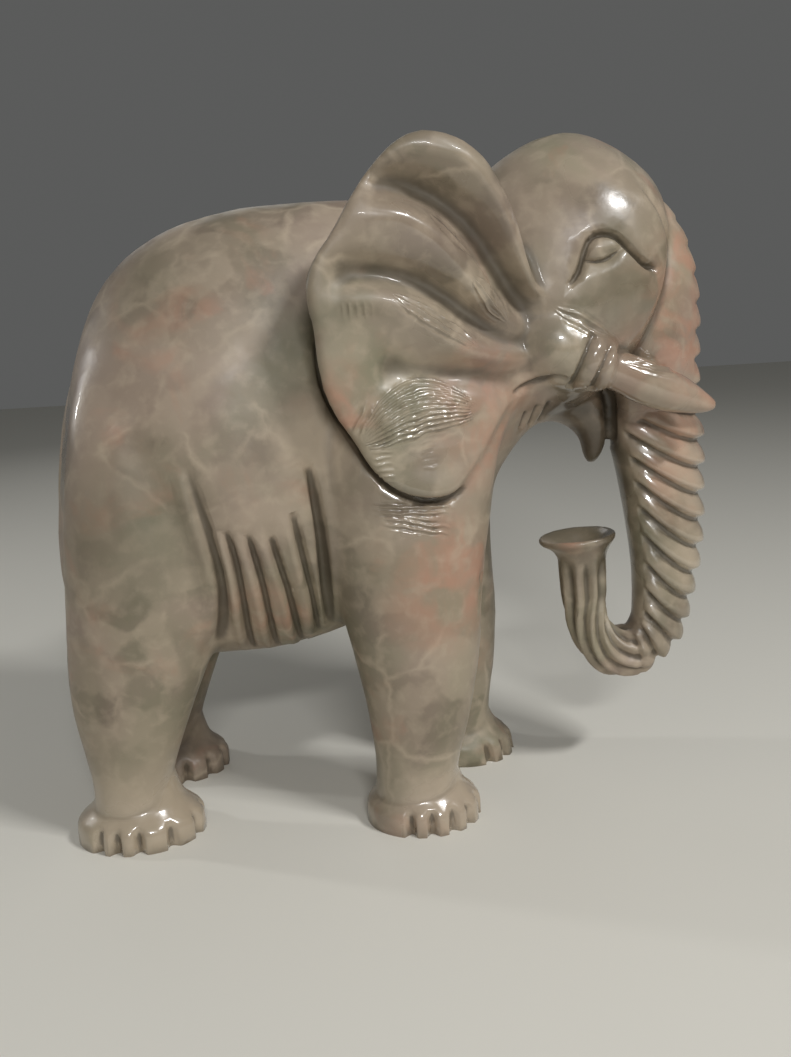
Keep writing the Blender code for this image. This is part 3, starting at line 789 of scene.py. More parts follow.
@dataclass
class Legs:
    """Four legs and their feet; the left front one steps ahead."""

    across: float = 36.0
    front: Loft = Loft("front_leg", (
        (34, 235, -12, 235, 14, -6),
        (44, 205, -24, 205, 20, 0),
        (46, 178, -30, 178, 25, 2),
        (44, 150, -31, 150, 26, 2),
        (40, 125, -29, 125, 26, 1),
        (37.5, 103, -27, 103, 25.5, 0.5),
        (36, 84, -23.5, 84, 24.5, 0),
        (33, 65, -20, 65, 23, 0),
        (29, 47, -17.5, 47, 21.5, 0),
        (25, 33, -16.3, 33, 20, 0),
        (22.5, 20, -16.5, 20, 19.5, 0),
        (24, 8, -18, 8, 20.5, 0),
        (25, -3, -19, -3, 21, 0),
    ), across=36.0)
    hind: Loft = Loft("hind_leg", (
        (-95, 215, -134, 215, 14, -2),
        (-84, 190, -140, 190, 22, 3),
        (-80, 160, -144.5, 160, 27, 4),
        (-78.5, 135, -147.5, 135, 28.5, 3.5),
        (-79, 112, -150, 112, 28, 2.5),
        (-83, 95, -152, 95, 26.5, 1),
        (-90.5, 78, -153.5, 78, 25, 0.5),
        (-98.5, 60, -153, 60, 23, 0),
        (-105, 44, -150.5, 44, 21, 0),
        (-110, 30, -148.5, 30, 19.5, 0),
        (-111.5, 20, -148.5, 20, 19, 0),
        (-110, 8, -150, 8, 20, 0),
        (-109, -3, -151, -3, 20.5, 0),
    ), across=36.0)
    forward_step: float = 24.5
    step_pivot: float = 210.0
    front_spread: tuple[float, float, float] = (2.5, 7.5, 5)
    hind_spread: tuple[float, float, float] = (2, 11.5, 6)
    profile: Rows = ((32, 0.58), (24, 0.64), (18, 0.71), (14.5, 0.81), (11.5, 0.93), (9, 0.985),
                     (6, 1), (-3, 1))
    notch_depth: float = 4.5
    notch_half_angle: float = 6.0
    notch_heights: tuple[float, float] = (13, 8)
    notch_power: float = 0.7
    front_notches: Row = (-62, -37, -12, 13, 38, 60, 83, 105)
    hind_notches: Row = (-96, -66, -38, -11, 18, 51, 82, 103, 121)
    chips: tuple[Chip, ...] = (Chip((36.8, -45, 115.8), 3.2, 1.2), Chip((36.4, -45, 107), 2.6, 1.0))

    def step(self, side: Side) -> float:
        """Gives how far a side's front leg steps ahead."""
        return self.forward_step if side is Side.LEFT else 0.0

    def swing(self, height: float, step: float) -> float:
        """Gives how far a stepping leg has swung at a height."""
        return step * max(0.0, 1 - height / self.step_pivot)

    def rough_forms(self) -> list[bpy.types.Object]:
        """Makes the four legs.

        Returns:
            For each side the front one, swung ahead by its step, and the hind one.
        """
        forms = []
        for side in Side:
            swung = []
            for ax, az, bx, bz, half, shift in self.front.rows:
                ahead = self.swing(az, self.step(side))
                swung.append((ax + ahead, az, bx + ahead, bz, half, shift))
            front = Loft("front_leg", tuple(swung), across=self.across)
            forms += [front.form(side), self.hind.form(side)]
        return forms

    def foot(self, leg: Loft, spread: Row, notches: Row, side: Side, step: float) -> bpy.types.Object:
        """Makes a foot that flares from the ankle to a rim of toes parted by notches.

        Args:
            leg: The leg that it ends.
            spread: How far it lies ahead of the ankle and spreads past it, lengthwise and across.
            notches: Where the notches lie round it, in degrees.
            side: The flank that it is on.
            step: How far its leg steps ahead.

        Returns:
            The foot.
        """
        ankle = min(leg.rows, key=lambda row: row[0] - row[2])
        middle = (ankle[0] + ankle[2]) / 2 + spread[0]
        rim = np.array([(ankle[0] - ankle[2]) / 2 + spread[1], ankle[4] + spread[2]])
        angle = np.linspace(0, 2 * math.pi, 360, endpoint=False)
        cut = np.zeros_like(angle)
        for notch in notches:
            away = np.abs((np.degrees(angle) - notch + 180) % 360 - 180)
            cut = np.maximum(cut, ramp(away, (self.notch_half_angle, 0)) ** self.notch_power)
        rings = []
        for z, reach in smooth_rows(self.profile, 12):
            depth = self.notch_depth * float(ramp(z, self.notch_heights)) * cut
            x = middle + self.swing(z, step) + (rim[0] * reach - depth) * np.cos(angle)
            y = side.value * (self.across + (rim[1] * reach - depth) * np.sin(angle))
            rings.append(np.stack([x, y, np.full_like(x, z)], axis=1))
        return closed_form("foot", np.array(rings))

    def fine_forms(self) -> list[bpy.types.Object]:
        """Makes the four feet.

        Returns:
            For each side the front foot and the hind one.
        """
        feet = []
        for side in Side:
            front = self.foot(self.front, self.front_spread, self.front_notches, side, self.step(side))
            feet += [front, self.foot(self.hind, self.hind_spread, self.hind_notches, side, 0.0)]
        return feet


@dataclass
class Trunk:
    """The trunk, with overlapping ridges down its front and flutes round its curled end."""

    tube: Loft = Loft("trunk", (
        (120.5, 288, 92, 272, 16, 0),
        (130, 277, 94, 258, 22, 0),
        (138.8, 263.5, 96, 244, 26, 0),
        (144, 248, 98, 231, 28, 0),
        (146, 231, 98, 219, 30, 0),
        (146, 214, 98, 205, 29.5, 0),
        (146, 198, 99.5, 192, 26, 0),
        (147, 182, 101.5, 180, 22, 0),
        (148.5, 164, 105, 164, 20, 0),
        (148.5, 146, 108.3, 148, 18.5, 0),
        (148.5, 128, 111.2, 130, 17, 0),
        (147.5, 112, 113.6, 112, 15.5, 0),
        (145, 98, 114.4, 97, 14.5, 0),
        (142, 84, 114.2, 85, 13.5, 0),
        (138, 70.5, 113.4, 80, 13, 0),
        (129.8, 59.8, 111.4, 77, 12.5, 0),
        (120, 51.3, 108.8, 76.2, 12, 0),
        (109, 49, 106, 76.5, 12, 0),
        (97.3, 52, 103.8, 78.6, 11.8, 0),
        (87.8, 62, 102.3, 82, 11.3, 0),
        (81.8, 76, 102, 86.5, 11.3, 0),
        (79.2, 90, 102, 95, 11.2, 0),
        (78.2, 104, 102, 105, 11.5, 0),
        (77.8, 111.5, 102, 112.5, 12.5, 0),
        (75, 115.8, 103.5, 117, 15, 0),
        (69.5, 119, 106.5, 122, 18.5, 0),
        (70.5, 121.8, 105.5, 124.6, 17.5, 0),
        (75, 120.5, 101.5, 122.5, 13.5, 0),
        (79.5, 116, 98.5, 117, 9.5, 0),
        (83, 112, 96, 112, 6, 0),
    ), squareness=2.05, around=192, per_row=24)
    ridge_spacing: tuple[float, float] = (12.8, 12.0)
    ridge_start: float = 0.96
    ridge_depth: float = 4.6
    ridge_sink: float = 0.72
    ridge_swell: float = 2.1
    ridge_crest: float = 0.86
    ridge_undercut: float = 0.7
    ridge_slant: float = 7.2
    ridge_slant_curve: float = 1.8
    ridge_slant_lost: float = 0.5
    ridge_height_at_root: float = 0.25
    ridge_reach: tuple[float, float] = (0.75, -0.76)
    ridge_end_share: float = 0.06
    flutes: int = 8
    flute_depth: float = 3.8
    flute_roundness: float = 1.4
    flute_twist: float = math.radians(120)
    rows_of_flute_twist: tuple[float, float] = (21.0, 15.0)
    rows_that_deepen: tuple[float, float] = (2.6, 7.4)
    rows_that_widen: tuple[float, float] = (6.3, 7.3)
    rows_that_close_up: tuple[float, float] = (13.0, 15.0)
    rows_that_end_ridges: tuple[float, float] = (16.4, 15.2)
    rows_that_begin_flutes: tuple[float, float] = (14.5, 16.5)
    rows_that_end_flutes: tuple[float, float] = (23.2, 21.8)

    def carving_tree(self) -> bpy.types.NodeTree:
        """Builds the tree that lifts the ridges and sinks the flutes.

        Returns:
            The tree, which reads the attributes that plan gives each point of the tube.
        """
        bench, given = Bench.start_carving("trunk_carving", self.carving_sizes())
        phase = bench.sum("FRACT", bench.read("ridges_passed"))
        crest = given["Ridge crest"]
        left = bench.sum("MAXIMUM", bench.sum("SUBTRACT", 1.0, bench.sum("DIVIDE", phase, crest)), 0.0)
        swollen = bench.sum("SUBTRACT", 1.0, bench.sum("POWER", left, given["Ridge swell"]))
        past = bench.sum("DIVIDE", bench.sum("SUBTRACT", 1.0, phase), bench.sum("SUBTRACT", 1.0, crest))
        under = bench.sum("POWER", bench.sum("MINIMUM", past, 1.0), given["Ridge undercut"])
        plate = bench.sum("MINIMUM", swollen, under)
        sunk = bench.sum("SUBTRACT", plate, given["Ridge sink"])
        ridge = bench.sum("MULTIPLY", bench.sum("MULTIPLY", bench.read("ridged"), sunk),
                          given["Ridge depth"])
        wave = bench.sum("POWER", bench.sum("ABSOLUTE", bench.sum("SINE", bench.read("turned"))),
                         given["Flute roundness"])
        valley = bench.sum("MULTIPLY", bench.sum("SUBTRACT", 1.0, wave), bench.read("fluted"))
        lift = bench.sum("SUBTRACT", ridge, bench.sum("MULTIPLY", valley, given["Flute depth"]))
        moved = bench.stretch(bench.read("outward", "FLOAT_VECTOR"), lift)
        placed = bench.node("GeometryNodeSetPosition", {"Geometry": given["Geometry"], "Offset": moved})
        return bench.end_carving(placed.outputs[0], given["Stone"])

    def plan(self, rings: np.ndarray) -> dict[str, np.ndarray]:
        """Works out what the carving needs to know at each point of the tube.

        Args:
            rings: The tube's points, ring by ring.

        Returns:
            Values by the name of the attribute.
        """
        angle = np.arange(self.tube.around) * 2 * math.pi / self.tube.around
        facing = np.cos(angle)[None, :]
        row = (np.arange(len(rings)) / self.tube.per_row)[:, None]
        close_up = ramp(row, self.rows_that_close_up)
        wide, narrow = self.ridge_spacing
        spacing = wide + (narrow - wide) * close_up
        moved = np.linalg.norm(np.diff(rings[:, 0], axis=0), axis=1)
        passed = self.ridge_start + np.concatenate([[0], np.cumsum(moved / spacing[1:, 0])])[:, None]
        slant = self.ridge_slant * (1 - self.ridge_slant_lost * close_up)
        slant = slant * (1 - facing) ** self.ridge_slant_curve
        at_root, below = self.ridge_reach
        reach = at_root + (below - at_root) * ramp(row, self.rows_that_widen)
        low = self.ridge_height_at_root
        height = low + (1 - low) * ramp(row, self.rows_that_deepen)
        height = height * ramp(row, self.rows_that_end_ridges)
        outward = rings - rings.mean(axis=1, keepdims=True)
        outward = outward / np.linalg.norm(outward, axis=2, keepdims=True)
        fluted = ramp(row, self.rows_that_begin_flutes) * ramp(row, self.rows_that_end_flutes)
        return {
            "ridges_passed": passed + slant / spacing,
            "ridged": height * np.clip((facing - reach) / self.ridge_end_share, 0, 1),
            "fluted": np.broadcast_to(fluted, rings.shape[:2]),
            "turned": self.flutes / 2 * (angle - self.flute_twist * ramp(row, self.rows_of_flute_twist)),
            "outward": outward,
        }

    def carving_sizes(self) -> dict[str, float]:
        """Gives the inputs of the carving tree.

        Returns:
            Their values by name, the depths in metres.
        """
        return {"Ridge depth": self.ridge_depth * UNIT, "Ridge sink": self.ridge_sink,
                "Ridge crest": self.ridge_crest, "Ridge swell": self.ridge_swell,
                "Ridge undercut": self.ridge_undercut, "Flute depth": self.flute_depth * UNIT,
                "Flute roundness": self.flute_roundness}

    def fine_forms(self, stone: bpy.types.Material) -> list[bpy.types.Object]:
        """Makes the trunk.

        Args:
            stone: The material that the carving tree sets.

        Returns:
            The trunk alone.
        """
        rings = self.tube.rings()
        trunk = closed_form("trunk", rings)
        for name, values in self.plan(rings).items():
            kind, key = ("FLOAT_VECTOR", "vector") if values.ndim == 3 else ("FLOAT", "value")
            layer = trunk.data.attributes.new(name, kind, "POINT")
            layer.data.foreach_set(key, np.ascontiguousarray(values, dtype=np.float32).ravel())
        return [use_tree(trunk, self.carving_tree(), {**self.carving_sizes(), "Stone": stone})]


@dataclass(frozen=True)
class Cloud:
    """One layer of soft clouds in the stone, with the limits that they rise between."""

    scale: float
    detail: float
    bend: float
    limits: tuple[float, float] = (0.0, 1.0)
    place: Row = (0, 0, 0)


@dataclass(frozen=True)
class Marble:
    """Marble in cloudy blocks, brown-grey with a green or a mauve cast, and stained salmon in places.

    A spot of cream and painted light, of painted shade with a green cast, of near-black painted shade,
    of stain or of polish is (x, y, z, radius), in metres. Blocks have a scale and a width of seam.
    """

    casts: Cloud = Cloud(13, 5, 0.6, (0.38, 0.62))
    seamed: Cloud = Cloud(30, 4, 0.5, (0.42, 0.62), (4, 4, 1))
    flushes: Cloud = Cloud(26, 6, 1.0, (0.55, 0.70), (3, 1, 2))
    streaks: Cloud = Cloud(55, 6, 0.8, (0.36, 0.62), (6, 3, 2))
    mottle: Cloud = Cloud(150, 8, 0.3, (0.45, 0.75), (1, 4, 2))
    wear: Cloud = Cloud(60, 5, 0.4, (0.35, 0.75), (2, 2, 9))
    pores: Cloud = Cloud(170, 4, 0.0, place=(7, 3, 1))
    swirl_scale: float = 45
    swirl_detail: float = 5
    swirl_reach: float = 0.022
    large_blocks: tuple[float, float] = (24, 0.05)
    small_blocks: tuple[float, float] = (62, 0.09)
    block_softness: float = 0.35
    soft_spot_limits: tuple[float, float] = (1.25, 0.35)
    large_share: float = 0.62
    small_share: float = 0.42
    seam_share: float = 0.55
    flush_share: float = 0.55
    streak_share: float = 0.6
    least_stain: float = 0.15
    mottle_share: float = 0.30
    pale_share: float = 0.7
    green_shade_share: float = 0.45
    painted_shade_spot_share: float = 0.8
    green_grey: Row = (0.222, 0.204, 0.136, 1)
    mauve_grey: Row = (0.290, 0.222, 0.174, 1)
    brown: Row = (0.125, 0.098, 0.066, 1)
    salmon: Row = (0.410, 0.218, 0.146, 1)
    cream: Row = (0.470, 0.385, 0.285, 1)
    # Near-black brown, painted shade: it darkens the hollows and the spots of painted shade.
    painted_shade: Row = (0.042, 0.032, 0.017, 1)
    hollow_shade_share: float = 0.66
    hollow_shade_limits: tuple[float, float] = (0.12, 1.05)
    # Cream blended in at the feet, and painted light on the shoulder below the ear, where the ear's
    # shadow falls, and on the trunk's plates.
    pale: tuple[Row, ...] = (
        (0.028, -0.040, 0.004, 0.040),
        (-0.115, -0.040, 0.004, 0.050),
        (-0.026, -0.060, 0.182, 0.018),
        (0.152, -0.025, 0.150, 0.026),
        (0.150, -0.020, 0.112, 0.022),
    )
    # Painted shade: near-black spots on the rear face of the trunk and about the lip and jaw, which lie
    # in shade.
    painted_shade_spots: tuple[Row, ...] = (
        (0.098, -0.016, 0.168, 0.020),
        (0.088, -0.020, 0.184, 0.016),
        (0.104, -0.012, 0.186, 0.013),
        (0.104, -0.008, 0.164, 0.014),
        (0.106, -0.008, 0.146, 0.014),
        (0.109, -0.008, 0.128, 0.014),
        (0.112, -0.008, 0.110, 0.013),
        (0.113, -0.008, 0.094, 0.011),
    )
    # Painted shade with a green cast of bounced light: darker greenish patches at the hip, over the
    # back, beside the ear and on the head.
    green_shade: Row = (0.105, 0.096, 0.058, 1)
    green_shade_spots: tuple[Row, ...] = (
        (-0.105, -0.066, 0.150, 0.036),
        (-0.100, -0.050, 0.262, 0.036),
        (-0.030, -0.066, 0.240, 0.026),
        (0.110, -0.045, 0.232, 0.022),
    )
    stains: tuple[Row, ...] = (
        (0.140, -0.015, 0.250, 0.028),
        (0.136, -0.020, 0.215, 0.045),
        (0.148, -0.015, 0.160, 0.032),
        (0.146, -0.036, 0.186, 0.016),
        (0.093, -0.012, 0.128, 0.012),
        (-0.018, -0.076, 0.192, 0.022),
        (0.052, -0.058, 0.185, 0.030),
        (0.030, -0.060, 0.120, 0.034),
        (-0.045, -0.062, 0.100, 0.026),
    )
    polished: tuple[Row, ...] = (
        (0.024, -0.075, 0.188, 0.028),
        (0.014, -0.062, 0.152, 0.022),
        (0.040, -0.070, 0.235, 0.034),
        (0.032, -0.072, 0.268, 0.030),
        (0.105, -0.035, 0.285, 0.030),
        (-0.148, -0.040, 0.185, 0.030),
        (0.110, -0.040, 0.205, 0.050),
        (0.150, -0.010, 0.130, 0.060),
        (0.020, -0.040, 0.000, 0.045),
        (-0.115, -0.040, 0.000, 0.045),
    )
    dull: tuple[float, float] = (0.40, 0.60)
    gloss: float = 0.22
    wax: float = 0.9
    wax_roughness: float = 0.06
    ior: float = 1.52
    bump: float = 0.00018
    bump_strength: float = 0.6

    def group(self, name: str, inputs: dict[str, str], *outputs: str) -> tuple[Bench, object]:
        """Starts a group of shader nodes that gives values.

        Args:
            name: What the group is called.
            inputs: The kind of each input, by name.
            outputs: The names of the values that it gives.

        Returns:
            The bench of the group, and its inputs inside it.
        """
        return Bench.start(name, "ShaderNodeTree", inputs, dict.fromkeys(outputs, "Float"))

    def clouds(self) -> bpy.types.NodeTree:
        """Builds the group that gives soft clouds.

        Returns:
            The group, with a value of about a half in the middle of its range.
        """
        bench, given = self.group(
            "stone_clouds",
            {"Vector": "Vector", "Scale": "Float", "Detail": "Float", "Bend": "Float"}, "Value")
        noise = bench.node("ShaderNodeTexNoise", {
            "Vector": given["Vector"], "Scale": given["Scale"], "Detail": given["Detail"],
            "Distortion": given["Bend"]})
        bench.node("NodeGroupOutput", {"Value": noise.outputs[0]})
        return bench.tree

    def blocks(self) -> bpy.types.NodeTree:
        """Builds the group that breaks the stone into blocks.

        Returns:
            The group, with the shade of each block and the seams between them.
        """
        bench, given = self.group(
            "stone_blocks", {"Vector": "Vector", "Scale": "Float", "Seam": "Float"}, "Shade", "Seam")
        where = {"Vector": given["Vector"], "Scale": given["Scale"]}
        cells = bench.node("ShaderNodeTexVoronoi", {**where, "Smoothness": self.block_softness},
                           feature="SMOOTH_F1")
        shade = bench.node("ShaderNodeSeparateColor", {0: cells.outputs["Color"]}).outputs[0]
        edge = bench.node("ShaderNodeTexVoronoi", where, feature="DISTANCE_TO_EDGE")
        width = bench.sum("DIVIDE", edge.outputs["Distance"], given["Seam"])
        seam = bench.sum("SUBTRACT", 1.0, width)
        bench.node("NodeGroupOutput", {"Shade": shade, "Seam": bench.sum("MAXIMUM", seam, 0.0)})
        return bench.tree

    def soft_spot(self) -> bpy.types.NodeTree:
        """Builds the group that gives a soft spot about a place, for stains, polish, cream, painted
        light and painted shade.

        Returns:
            The group, with a value of 1 in the middle of the spot.
        """
        bench, given = self.group(
            "stone_soft_spot", {"Vector": "Vector", "Place": "Vector", "Radius": "Float"}, "Value")
        away = bench.node("ShaderNodeVectorMath", {0: given["Vector"], 1: given["Place"]},
                          operation="DISTANCE").outputs["Value"]
        share = bench.sum("DIVIDE", away, given["Radius"])
        bench.node("NodeGroupOutput", {"Value": bench.rise(share, *self.soft_spot_limits)})
        return bench.tree

    def material(self) -> bpy.types.Material:
        """Builds the material.

        Returns:
            The polished stone.
        """
        stone = bpy.data.materials.new("marble")
        stone.use_nodes = True
        bench = Bench(stone.node_tree)
        shader = stone.node_tree.nodes["Principled BSDF"]
        place = bench.node("ShaderNodeTexCoord").outputs["Object"]
        clouds, cells, about = self.clouds(), self.blocks(), self.soft_spot()

        def scaled(value: bpy.types.NodeSocket, share: float) -> bpy.types.NodeSocket:
            """Gives a share of a value."""
            return bench.sum("MULTIPLY", value, share)

        def cloud(layer: Cloud) -> bpy.types.NodeSocket:
            """Places the clouds once.

            Args:
                layer: The layer that they make.

            Returns:
                Their value.
            """
            at = bench.node("ShaderNodeMapping", {"Vector": place, "Location": layer.place}).outputs[0]
            sizes = {"Vector": at, "Scale": layer.scale, "Detail": layer.detail, "Bend": layer.bend}
            return bench.node("ShaderNodeGroup", sizes, node_tree=clouds).outputs[0]

        def risen(layer: Cloud) -> bpy.types.NodeSocket:
            """Places the clouds once and lets them rise between the layer's limits."""
            return bench.rise(cloud(layer), *layer.limits)

        swirl = bench.node("ShaderNodeTexNoise", {"Vector": place, "Scale": self.swirl_scale,
                                                  "Detail": self.swirl_detail}).outputs["Color"]
        swirl = bench.node("ShaderNodeVectorMath", {0: swirl, 1: (0.5, 0.5, 0.5)}, operation="SUBTRACT")
        swirl = bench.stretch(swirl.outputs[0], self.swirl_reach)
        bent = bench.node("ShaderNodeVectorMath", {0: place, 1: swirl}).outputs[0]

        def blocks(scale: float, seam: float) -> object:
            """Places the blocks once and gives their shade and seams."""
            sizes = {"Vector": bent, "Scale": scale, "Seam": seam}
            return bench.node("ShaderNodeGroup", sizes, node_tree=cells).outputs

        def nearest(spots: tuple[Row, ...]) -> bpy.types.NodeSocket:
            """Tells how near a place is to the closest of some spots.

            Args:
                spots: The spots, as (x, y, z, radius).

            Returns:
                The nearness, from 0 to 1.
            """
            found = None
            for *middle, radius in spots:
                sizes = {"Vector": bent, "Place": middle, "Radius": radius}
                one = bench.node("ShaderNodeGroup", sizes, node_tree=about).outputs[0]
                found = one if found is None else bench.sum("MAXIMUM", found, one)
            return found

        large, small = blocks(*self.large_blocks), blocks(*self.small_blocks)
        ground = bench.blend(risen(self.casts), self.green_grey, self.mauve_grey)
        ground = bench.blend(scaled(large["Shade"], self.large_share), ground, self.brown)
        ground = bench.blend(scaled(small["Shade"], self.small_share), ground, self.cream)
        seams = bench.sum("MULTIPLY", large["Seam"], risen(self.seamed))
        ground = bench.blend(scaled(seams, self.seam_share), ground, self.cream)
        stained = bench.sum("MAXIMUM", scaled(risen(self.flushes), self.flush_share),
                            nearest(self.stains))
        streaks = bench.sum("ADD", scaled(risen(self.streaks), self.streak_share), self.least_stain)
        ground = bench.blend(bench.sum("MULTIPLY", stained, streaks), ground, self.salmon)
        ground = bench.blend(scaled(risen(self.mottle), self.mottle_share), ground, self.cream)
        # Cream and painted light, green-cast painted shade and near-black painted shade, each about its
        # spots.
        for spots, share, colour in ((self.pale, self.pale_share, self.cream),
                                     (self.green_shade_spots, self.green_shade_share, self.green_shade),
                                     (self.painted_shade_spots, self.painted_shade_spot_share, self.painted_shade)):
            ground = bench.blend(scaled(nearest(spots), share), ground, colour)
        # Painted shade: the colour darkens towards near-black brown the deeper a point lies in a hollow,
        # and the hollows are made rougher.
        hollow = bench.node("ShaderNodeAttribute", attribute_name="hollow").outputs["Fac"]
        in_hollow = bench.rise(hollow, *self.hollow_shade_limits)
        ground = bench.blend(scaled(in_hollow, self.hollow_shade_share), ground, self.painted_shade)
        bench.tree.links.new(ground, shader.inputs["Base Color"])
        low, high = self.dull
        worn = {"Value": risen(self.wear), "To Min": low, "To Max": high}
        rough = bench.node("ShaderNodeMapRange", worn).outputs[0]
        shine = nearest(self.polished)
        rough = bench.node("ShaderNodeMix", {0: shine, 2: rough, 3: self.gloss}).outputs[0]
        rough = bench.node("ShaderNodeMix", {0: in_hollow, 2: rough, 3: high}).outputs[0]
        bench.tree.links.new(rough, shader.inputs["Roughness"])
        bench.tree.links.new(scaled(shine, self.wax), shader.inputs["Coat Weight"])
        relief = bench.node("ShaderNodeBump", {"Height": cloud(self.pores), "Distance": self.bump,
                                               "Strength": self.bump_strength})
        bench.tree.links.new(relief.outputs[0], shader.inputs["Normal"])
        shader.inputs["Coat Roughness"].default_value = self.wax_roughness
        shader.inputs["IOR"].default_value = self.ior
        return stone


@dataclass(frozen=True)
class Net:
    """How finely the stone is worked at one stage."""

    spacing: float
    rubs: int
    rub: float = 0.5

    def fuse(self, name: str, forms: list[bpy.types.Object]) -> bpy.types.Object:
        """Runs overlapping forms into one and rubs it smooth.

        Args:
            name: What the result is called.
            forms: The forms, which are used up.

        Returns:
            One closed form.
        """
        joined = bmesh.new()
        for form in forms:
            joined.from_mesh(form.data)
            bpy.data.objects.remove(form)
        mesh = bpy.data.meshes.new(name)
        joined.to_mesh(mesh)
        joined.free()
        block = add_object(name, mesh)
        remesh = block.modifiers.new("net", "REMESH")
        remesh.mode = "VOXEL"
        remesh.voxel_size = self.spacing * UNIT
        smooth = block.modifiers.new("rubs", "SMOOTH")
        smooth.factor = self.rub
        smooth.iterations = self.rubs
        return baked(block)


@dataclass
class Elephant:
    """The whole figure, carved from one block."""

    torso: Torso
    head: Head
    ears: Ears
    legs: Legs
    trunk: Trunk
    marble: Marble
    rough: Net = Net(2.4, 16)
    shaped: Net = Net(1.7, 5)
    fine: Net = Net(0.85, 3)
    quick: Net = Net(1.3, 2)
    triangles: int = 190000
    skin: float = 0.2
    wave_size: float = 9.0
    wave_depth: float = 0.35
    stroke_unevenness: float = 2.4
    stroke_wander: float = 0.9
    hollow_rubs: int = 55
    hollow_depth: float = 1.0

    def places(self, block: bpy.types.Object) -> np.ndarray:
        """Reads the points of a block.

        Args:
            block: The block.

        Returns:
            Its points, in units.
        """
        points = np.empty(len(block.data.vertices) * 3)
        block.data.vertices.foreach_get("co", points)
        return points.reshape(-1, 3) / UNIT

    def strokes(self, points: np.ndarray) -> tuple[np.ndarray, np.ndarray]:
        """Works out how the tool marks lie.

        Args:
            points: Points of the surface, in units.

        Returns:
            How many strokes lie below each point of its patch, and how deep they are there.
        """
        passed, depth = np.zeros((2, len(points)))
        for patch in self.ears.tooling:
            marks, deep = patch.marks(points)
            passed = np.where(deep > depth, marks, passed)
            depth = np.maximum(depth, deep)
        return passed, depth

    def refine(self, block: bpy.types.Object) -> None:
        """Halves the net where tool marks lie.

        Args:
            block: The block, which is changed.
        """
        tooled = self.strokes(self.places(block))[1] > 0
        shape = bmesh.new()
        shape.from_mesh(block.data)
        edges = [edge for edge in shape.edges if all(tooled[end.index] for end in edge.verts)]
        bmesh.ops.subdivide_edges(shape, edges=edges, cuts=1, use_grid_fill=True)
        shape.to_mesh(block.data)
        shape.free()

    def carve(self, block: bpy.types.Object) -> None:
        """Cuts the lines and chips into the block and notes its tool marks.

        Args:
            block: The block, which is changed.
        """
        mesh = block.data
        points, normals = self.places(block), np.empty(len(mesh.vertices) * 3)
        mesh.vertices.foreach_get("normal", normals)
        normals = normals.reshape(-1, 3)
        sunk, raised = np.zeros((2, len(points)))
        for line in (*self.torso.lines(), *self.head.lines(), self.ears.undercut, *self.legs.chips):
            cut = line.cut(points)
            sunk, raised = np.maximum(sunk, cut), np.minimum(raised, cut)
        for name, values in zip(("strokes_passed", "stroke_depth"), self.strokes(points)):
            layer = mesh.attributes.new(name, "FLOAT", "POINT")
            layer.data.foreach_set("value", values.astype(np.float32))
        points -= normals * (sunk + raised + self.skin)[:, None]
        mesh.vertices.foreach_set("co", (points * UNIT).ravel())
        mesh.update()

    def hand_tree(self) -> bpy.types.NodeTree:
        """Builds the tree that leaves the waves and the gouge strokes of work by hand.

        Returns:
            The tree, which reads the attributes that carve gives each point and notes how deep each
            lies in a hollow.
        """
        bench, given = Bench.start_carving("worked_by_hand", self.hand_sizes())
        place = bench.node("GeometryNodeInputPosition").outputs[0]

        def noise(scale: object) -> bpy.types.NodeSocket:
            """Gives waves about zero."""
            wave = bench.node("ShaderNodeTexNoise", {"Vector": place, "Scale": scale, "Detail": 1.0})
            return bench.sum("SUBTRACT", wave.outputs[0], 0.5)

        waves = bench.sum("MULTIPLY", noise(given["Wave scale"]), given["Wave depth"])
        uneven = bench.sum("ADD", 1.0, bench.sum("MULTIPLY", noise(given["Break scale"]),
                                                 given["Stroke unevenness"]))
        wander = bench.sum("MULTIPLY", noise(given["Wave scale"]), given["Stroke wander"])
        phase = bench.sum("FRACT", bench.sum("ADD", bench.read("strokes_passed"), wander))
        middle = bench.sum("SUBTRACT", bench.sum("MULTIPLY", phase, 2.0), 1.0)
        trough = bench.sum("SUBTRACT", 0.5, bench.sum("MULTIPLY", middle, middle))
        deep = bench.sum("MULTIPLY", bench.sum("MULTIPLY", bench.read("stroke_depth"), UNIT), uneven)
        lift = bench.sum("SUBTRACT", waves, bench.sum("MULTIPLY", trough, deep))
        normal = bench.node("GeometryNodeInputNormal").outputs[0]
        moved = bench.stretch(normal, lift)
        placed = bench.node("GeometryNodeSetPosition", {"Geometry": given["Geometry"], "Offset": moved})
        # How deep each point lies in a hollow is noted here; the material paints shade from it.
        rubbed = bench.node("GeometryNodeBlurAttribute",
                            {"Value": place, "Iterations": self.hollow_rubs}, data_type="FLOAT_VECTOR")
        above = bench.node("ShaderNodeVectorMath", {0: rubbed.outputs[0], 1: place},
                           operation="SUBTRACT")
        sunk = bench.node("ShaderNodeVectorMath", {0: above.outputs[0], 1: normal},
                          operation="DOT_PRODUCT")
        hollow = bench.sum("DIVIDE", sunk.outputs["Value"], given["Hollow depth"])
        noted = bench.node("GeometryNodeStoreNamedAttribute",
                           {"Geometry": placed.outputs[0], "Name": "hollow", "Value": hollow})
        return bench.end_carving(noted.outputs[0], given["Stone"])

    def hand_sizes(self) -> dict[str, float]:
        """Gives the inputs of the hand tree.

        Returns:
            Their values by name, in metres, one over metres, or as shares.
        """
        return {"Wave scale": 1 / (self.wave_size * UNIT), "Wave depth": self.wave_depth * UNIT,
                "Break scale": 2 / (self.wave_size * UNIT), "Hollow depth": self.hollow_depth * UNIT,
                "Stroke unevenness": self.stroke_unevenness, "Stroke wander": self.stroke_wander}

